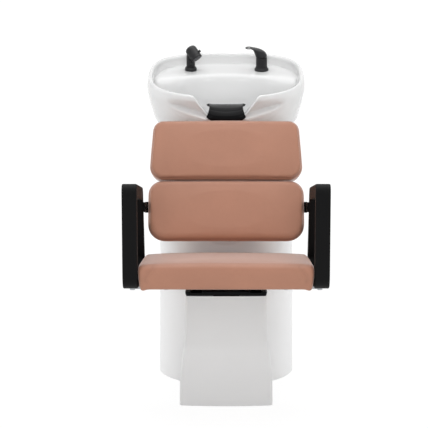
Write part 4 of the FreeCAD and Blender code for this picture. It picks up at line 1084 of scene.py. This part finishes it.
REST_PATH = (
    (0.0, 82.0, -51.0, 64.5, 0.0), (0.08, 76.0, -48.6, 59.0, 3.0), (0.2, 62.0, -47.0, 56.5, 7.0),
    (0.36, 44.0, -46.4, 55.0, 9.5), (0.54, 22.0, -47.4, 54.5, 10.0), (0.68, 2.0, -51.5, 56.0, 8.5),
    (0.8, -9.5, -59.0, 60.0, 5.0), (0.9, -14.0, -69.0, 64.5, 6.0), (1.0, -14.5, -83.0, 63.0, 21.0))
REST_THICK = 9.5
REST_ACROSS, REST_ALONG = 41, 44


def saddle_faces(across, along):
    """Faces of two sheets of across by along points, closed round their rim."""
    faces = []
    total = along * across
    for r in range(along - 1):
        for i in range(across - 1):
            a = r * across + i
            quad = (a, a + 1, a + across + 1, a + across)
            faces.append(quad)
            faces.append(tuple(total + k for k in reversed(quad)))
    rim = list(range(across)) + [r * across + across - 1 for r in range(1, along)]
    rim += [total - 1 - i for i in range(1, across)] + [r * across for r in range(along - 2, 0, -1)]
    for a, b in zip(rim, rim[1:] + rim[:1]):
        faces.append((b, a, total + a, total + b))
    return faces


def neck_saddle():
    """The gel neck rest: a saddle over the notch with a flared lip in front."""
    u = np.linspace(-1.0, 1.0, REST_ACROSS)
    wrap = math.pi / 2 * 0.94
    edge = np.clip(1 - np.abs(u) ** 14, 0, 1)
    top, low = [], []
    for t in np.linspace(0.0, 1.0, REST_ALONG):
        v, w, half, rise = spline(REST_PATH, t)
        x = half * np.sin(u * wrap) / math.sin(wrap)
        lift = rise * np.abs(u) ** (2.2 - 0.4 * t)
        ends = min(1.0, math.sqrt(max(0.0, 1 - (2 * t - 1) ** 24)) + 0.05)
        bow = smooth_step(t, 0.55, 0.95) * (5.0 - 9.0 * u * u)
        up = np.column_stack([x, v - bow, w + lift - 1.5 * (1 - edge)])
        before, after = spline(REST_PATH, max(t - 0.01, 0)), spline(REST_PATH, min(t + 0.01, 1))
        slope_v, slope_w = after[0] - before[0], after[1] - before[1]
        thick = REST_THICK * ends * (0.35 + 0.65 * edge) / math.hypot(slope_v, slope_w)
        top.append(up)
        low.append(up + np.column_stack([0.0 * thick, -slope_w * thick, slope_v * thick]))
    points = to_row(np.vstack(top + low), BASIN_FRAME)
    piece = new_piece("neck_rest_gel", points, saddle_faces(REST_ACROSS, REST_ALONG), "gel_black", "basin")
    subdivide(piece)
    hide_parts("neck_rest")


class BACKWASH_OT_neck_rest(bpy.types.Operator):
    """Makes the gel neck rest."""

    bl_idname = "backwash.neck_rest"
    bl_label = "Neck rest"

    def execute(self, context):
        neck_saddle()
        return {"FINISHED"}


# Taps: turned profiles are rows of radius and height

TAP_GRID = 0.0008
UP, SIDE = (0, 0, 1), (1, 0, 0)
MIXER_FOOT = (TAP_X, TAP_V, DECK_W)
MIXER_BODY = (
    (0.5, -20), (16.5, -20), (16.5, 0), (24.3, 0), (24.3, 5.5), (22.6, 7.6), (20.4, 11),
    (19.4, 17), (19.3, 40), (19.2, 45.6), (17.6, 46.0), (0.5, 46.0))

# Lever sections: outer left, outer height, inner left, inner height, half depth

LEVER = (
    (-19.3, 49.4, 19.3, 46.4, 19.3), (-18.3, 53.4, 20.8, 50.4, 19.2), (-16.3, 59.4, 22.3, 54.4, 18.4),
    (-9.5, 67.4, 24.3, 59.4, 17.4), (0.5, 73.4, 25.8, 63.9, 16.3), (12.0, 77.4, 27.5, 68.4, 15.2),
    (24.0, 80.0, 30.0, 72.5, 13.8), (34.0, 81.4, 36.0, 76.4, 12.2))
LEVER_POINTS = 44
EYELET_AT = (TAP_X - 43.5, TAP_V, DECK_W + 79.6)
EYELET_POINTS, EYELET_AROUND = 56, 16

# Hand shower: the head's half length, its radius, where it sits over the foot and which way it sprays

SHOWER_FOOT = (-TAP_X, TAP_V, DECK_W)
HEAD_DIR, HEAD_TOP = (0.55, -0.50, -0.67), (0.72, -0.10, 0.66)
HEAD_AT = (9.0, -4.0, 62.0)
HEAD_R, HALF = 20.0, 24.0
HOLDER = (
    (14.1, -20), (16.5, -20), (16.5, 0), (20.8, 0), (20.8, 5.5), (19.0, 9.5), (17.6, 12.0), (14.1, 12.0))
SLEEVE = ((12.1, -52), (14.0, -52), (14.0, 12.1), (15.6, 12.1), (15.6, 14.9), (12.1, 14.9))
HANDLE = (
    (0.5, -52), (12, -52), (12, 15), (13.5, 15.1), (15, 17), (15, 42), (14.6, 50), (13.6, 58), (0.5, 60))
HEAD = (
    (0.5, -HALF - 2), (8.5, -HALF - 1.4), (14.5, 1 - HALF), (18.6, 5 - HALF), (HEAD_R, 11 - HALF),
    (HEAD_R, HALF - 8.5), (HEAD_R - 0.9, HALF - 8.0), (HEAD_R - 0.9, HALF - 6.8), (HEAD_R, HALF - 6.3),
    (HEAD_R, HALF - 1.2), (HEAD_R - 1.2, HALF), (17.6, HALF), (17.6, HALF - 2.0), (0.5, HALF - 2.0))
SPRAY_PLATE = (
    (0.5, HALF - 2.9), (17.4, HALF - 2.9), (17.4, HALF - 0.9), (15.8, HALF - 0.2), (9.0, HALF + 0.4),
    (0.5, HALF + 0.6))
SPRAY_CIRCLES = ((4.4, 6), (8.8, 12), (13.2, 18))
BUTTON = (
    (0.4, HEAD_R - 5), (4.4, HEAD_R - 5), (4.4, HEAD_R + 5.4), (3.6, HEAD_R + 6.3), (0.4, HEAD_R + 6.4))
BUTTON_ALONG = 9.0


def lathe(profile, ease, centre, axis, across, count=64):
    """A turned solid along an axis from a centre, its profile's corners eased."""
    axis, across = np.asarray(axis, float), np.asarray(across, float)
    third = np.cross(axis, across)
    a = circle(count)[:, None]
    spokes = np.cos(a) * across + np.sin(a) * third
    rings = [centre + axis * height + radius * spokes for radius, height in eased(profile, ease)]
    return np.vstack(rings), ring_faces(len(rings), count)


def eased(profile, radius, steps=4):
    """A turned profile with its corners rounded off."""
    out = [profile[0]]
    for a, b, c in zip(profile, profile[1:], profile[2:]):
        a, b, c = (np.array(p, float) for p in (a, b, c))
        r = min(radius, np.linalg.norm(a - b) * 0.45, np.linalg.norm(c - b) * 0.45)
        p = b + (a - b) / max(np.linalg.norm(a - b), 1e-9) * r
        q = b + (c - b) / max(np.linalg.norm(c - b), 1e-9) * r
        for t in np.linspace(0.0, 1.0, steps + 1):
            out.append(tuple((1 - t) ** 2 * p + 2 * t * (1 - t) * b + t * t * q))
    out.append(profile[-1])
    return out


def tap_piece(node, body, parts, slot="tap_black", ending="_coated", fused=False):
    """Solids of points in the basin frame and faces, as one piece that stands for a node."""
    faces, base = [], 0
    for points, sides in parts:
        faces += [tuple(base + i for i in face) for face in sides]
        base += len(points)
    points = np.vstack([points for points, _ in parts])
    piece = new_piece(node + ending, to_row(points, BASIN_FRAME), faces, slot, body)
    if fused:
        regrid(piece, TAP_GRID)
        relax(piece, 4)
        piece.data.shade_smooth()
        paint(piece, slot)
    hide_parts(node)


def swept_lever():
    """The lever, swept through its sections."""
    keys = [(i, *section) for i, section in enumerate(LEVER)]
    a = circle(LEVER_POINTS)
    c, s = np.cos(a), np.sin(a)
    flat = np.sign(c) * np.abs(c) ** 0.85
    rings = []
    for t in np.linspace(0.0, len(LEVER) - 1.0, 6 * len(LEVER)):
        ox, oh, ix, ih, deep = spline(keys, t)
        left = (ox + ix) / 2 + (ox - ix) / 2 * flat
        high = (oh + ih) / 2 + (oh - ih) / 2 * flat
        across = deep * np.sign(s) * np.abs(s) ** 0.9
        rings.append(np.column_stack([TAP_X - left, TAP_V + across, DECK_W + high]))
    return np.vstack(rings), ring_faces(len(rings), LEVER_POINTS)


def oval_ring(centre, half_x, half_v, tube_flat, tube_high):
    """Flat oval eyelet."""
    b = circle(EYELET_AROUND)
    flat = tube_flat * np.cos(b)
    rings = []
    for a in circle(EYELET_POINTS):
        rings.append(np.column_stack([
            centre[0] + (half_x + flat) * math.cos(a), centre[1] + (half_v + flat) * math.sin(a),
            centre[2] + tube_high * np.sin(b)]))
    return np.vstack(rings), ring_faces(EYELET_POINTS, EYELET_AROUND, False)


class BACKWASH_OT_mixer(bpy.types.Operator):
    """Makes the mixer's body and its swept lever."""

    bl_idname = "backwash.mixer"
    bl_label = "Mixer"

    def execute(self, context):
        tap_piece("mixer_body", "basin", [lathe(MIXER_BODY, 1.0, MIXER_FOOT, UP, SIDE)])
        eyelet = oval_ring(EYELET_AT, 10.0, 10.2, 3.0, 2.0)
        tap_piece("mixer_lever", "mixer_lever", [swept_lever(), eyelet], fused=True)
        return {"FINISHED"}


def head_axes():
    """The head's spray direction, the way to its button and its centre, in the basin frame."""
    axis = Vector(HEAD_DIR).normalized()
    up = Vector(HEAD_TOP)
    up = (up - axis * up.dot(axis)).normalized()
    return np.array(axis), np.array(up), np.add(SHOWER_FOOT, HEAD_AT)


def spray_nozzles(axis, out, centre):
    """Nozzles in three circles on the spray face."""
    across = np.cross(axis, out)
    spots = []
    for radius, number in SPRAY_CIRCLES:
        rise = HALF + 0.45 - radius * 0.035
        for a in circle(number):
            spots.append(centre + axis * rise + out * radius * math.cos(a) + across * radius * math.sin(a))
    jets = new_object("shower_nozzles", to_row(spots, BASIN_FRAME))
    way = tuple(turned(axis, BASIN_FRAME[1])[0])
    run_tree(jets, nozzle_tree(), {
        "Radius": sizes().nozzle, "Direction": way, "Material": finish("plastic_grey")})
    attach(jets, "hand_shower")


class BACKWASH_OT_shower(bpy.types.Operator):
    """Makes the hand shower, its holder, spray face and button."""

    bl_idname = "backwash.shower"
    bl_label = "Hand shower"

    def execute(self, context):
        axis, out, centre = head_axes()
        tap_piece("shower_holder", "basin", [lathe(HOLDER, 1.0, SHOWER_FOOT, UP, SIDE)])
        tap_piece("shower_sleeve", "shower_sleeve", [lathe(SLEEVE, 0.6, SHOWER_FOOT, UP, SIDE)])
        handle, head = lathe(HANDLE, 1.0, SHOWER_FOOT, UP, SIDE), lathe(HEAD, 1.6, centre, axis, out)
        tap_piece("shower_body", "hand_shower", [handle, head], fused=True)
        plate = lathe(SPRAY_PLATE, 0.8, centre, axis, out)
        tap_piece("shower_face", "hand_shower", [plate], "rubber_black", "_rubber")
        spray_nozzles(axis, out, centre)
        button = lathe(BUTTON, 0.9, centre + axis * BUTTON_ALONG, out, axis, 40)
        tap_piece("shower_button", "shower_button", [button])
        return {"FINISHED"}


# Carried-over pieces

class BACKWASH_OT_finishes(bpy.types.Operator):
    """Gives every carried-over solid the finish of its slot, except the pedestal, which gets a darker copy
    of the shell's white as painted shade.
    """

    bl_idname = "backwash.finishes"
    bl_label = "Finishes"

    def execute(self, context):
        slots = {part["node"]: part["material_slot"] for part in frame["record"]["subparts"]}
        # The pedestal gets the darker copy of the shell's white, as painted shade.
        slots["pedestal_shell"] = "pedestal_white"
        for name, node in frame["nodes"].items():
            paint(node, slots[name])
        return {"FINISHED"}


# Stage: the photo's width and the view's focal length and shift in its pixels, and the sensor in millimetres

PHOTO_WIDE, FOCAL, SHIFT_X = 428.0, 1700.0, -12.15
SENSOR = 36.0
EYE = (0.0, -5.5438, 1.5175)
EYE_PITCH = 79.851
FLOOR_REACH, FLOOR_UNDER = 30.0, 0.0006
WORLD_GLOW, WORLD_WHITE = 0.25, 1.0


def set_camera(scene):
    lens = bpy.data.cameras.new("camera")
    lens.lens = FOCAL / PHOTO_WIDE * SENSOR
    lens.sensor_width = SENSOR
    lens.shift_x = SHIFT_X / PHOTO_WIDE
    lens.clip_end = 200.0
    camera = bpy.data.objects.new("camera", lens)
    camera.location = EYE
    camera.rotation_euler = (math.radians(EYE_PITCH), 0.0, 0.0)
    scene.collection.objects.link(camera)
    scene.camera = camera


def lay_floor():
    corners = [(x * FLOOR_REACH, y * FLOOR_REACH, 0.0) for x, y in ((-1, -1), (1, -1), (1, 1), (-1, 1))]
    floor = new_object("studio_floor", corners, faces=[(0, 1, 2, 3)])
    floor.location.z = -FLOOR_UNDER
    floor.data.materials.append(studio_floor_finish())


def soft_light(name, place, target, size, power, shows=False):
    """An area lamp, out of the camera's sight; only one that shows is mirrored in gloss."""
    lamp = bpy.data.lights.new(name, "AREA")
    lamp.shape = "RECTANGLE"
    lamp.size, lamp.size_y = size
    lamp.energy = power
    light = bpy.data.objects.new(name, lamp)
    light.location = place
    light.visible_glossy = shows
    light.visible_camera = False
    light.rotation_euler = (Vector(target) - Vector(place)).to_track_quat("-Z", "Y").to_euler()
    bpy.context.scene.collection.objects.link(light)


def light_studio():
    seat = (0.0, -0.2, 0.6)
    soft_light("top", (0.0, -0.2, 3.3), seat, (3.4, 3.0), 70.0, True)
    soft_light("front", (0.0, -6.0, 1.1), seat, (3.4, 1.6), 88.0)
    soft_light("front_high", (0.0, -5.2, 3.4), seat, (3.4, 2.0), 40.0)
    soft_light("rear", (0.0, 5.5, 2.2), (0.0, 0.2, 0.6), (3.4, 2.0), 78.0)
    for side in (-1.0, 1.0):
        soft_light("side", (side * 3.0, 0.7, 0.8), (0.0, 0.0, 0.55), (1.4, 1.4), 32.0)
        soft_light("spark", (side * 0.75, -3.0, 2.7), (0.0, 0.0, 0.9), (0.12, 0.12), 4.0, True)


def white_world():
    """White where the camera, gloss or glass sees it, and a dimmer glow as light."""
    world = bpy.data.worlds.new("studio")
    world.use_nodes = True
    world.node_tree.nodes.clear()
    w = Nodes(world.node_tree)
    glow, white = (w.add("ShaderNodeBackground", {}, {"Color": WHITE, "Strength": strength})
                   for strength in (WORLD_GLOW, WORLD_WHITE))
    shown = w.add("ShaderNodeMixShader", {}, {0: w.shown_rays(), 1: glow, 2: white})
    w.add("ShaderNodeOutputWorld", {}, {"Surface": shown})
    return world


class BACKWASH_OT_stage(bpy.types.Operator):
    """Sets up the camera, the studio light, the floor and the white backdrop."""

    bl_idname = "backwash.stage"
    bl_label = "Stage"

    def execute(self, context):
        scene = context.scene
        scene.view_settings.view_transform = "Standard"
        set_camera(scene)
        lay_floor()
        light_studio()
        scene.world = white_world()
        return {"FINISHED"}


# Panel and start

ORDER = (BACKWASH_OT_stage, BACKWASH_OT_finishes, BACKWASH_OT_tray, BACKWASH_OT_seat, BACKWASH_OT_backrest,
         BACKWASH_OT_basin, BACKWASH_OT_neck_rest, BACKWASH_OT_mixer, BACKWASH_OT_shower)


class BACKWASH_PT_panel(bpy.types.Panel):
    """Lists the unit's pieces, sizes and colours."""

    bl_label = "Backwash unit"
    bl_idname = "BACKWASH_PT_panel"
    bl_space_type = "VIEW_3D"
    bl_region_type = "UI"
    bl_category = "Backwash"

    def draw(self, context):
        for group in (context.scene.backwash_sizes, context.scene.backwash_colours):
            box = self.layout.box()
            for key in group.__annotations__:
                box.prop(group, key)
        for kind in ORDER:
            self.layout.operator(kind.bl_idname)


CLASSES = (BackwashSizes, BackwashColours, *ORDER, BACKWASH_PT_panel)


def register():
    for kind in CLASSES:
        bpy.utils.register_class(kind)
    bpy.types.Scene.backwash_sizes = bpy.props.PointerProperty(type=BackwashSizes)
    bpy.types.Scene.backwash_colours = bpy.props.PointerProperty(type=BackwashColours)


def unregister():
    del bpy.types.Scene.backwash_colours
    del bpy.types.Scene.backwash_sizes
    for kind in reversed(CLASSES):
        bpy.utils.unregister_class(kind)


def main():
    register()
    bpy.ops.backwash.stage()
    bpy.ops.backwash.finishes()
    bpy.ops.backwash.tray()
    bpy.ops.backwash.seat()
    bpy.ops.backwash.backrest()
    bpy.ops.backwash.basin()
    bpy.ops.backwash.neck_rest()
    bpy.ops.backwash.mixer()
    bpy.ops.backwash.shower()


if __name__ == "__main__":
    main()
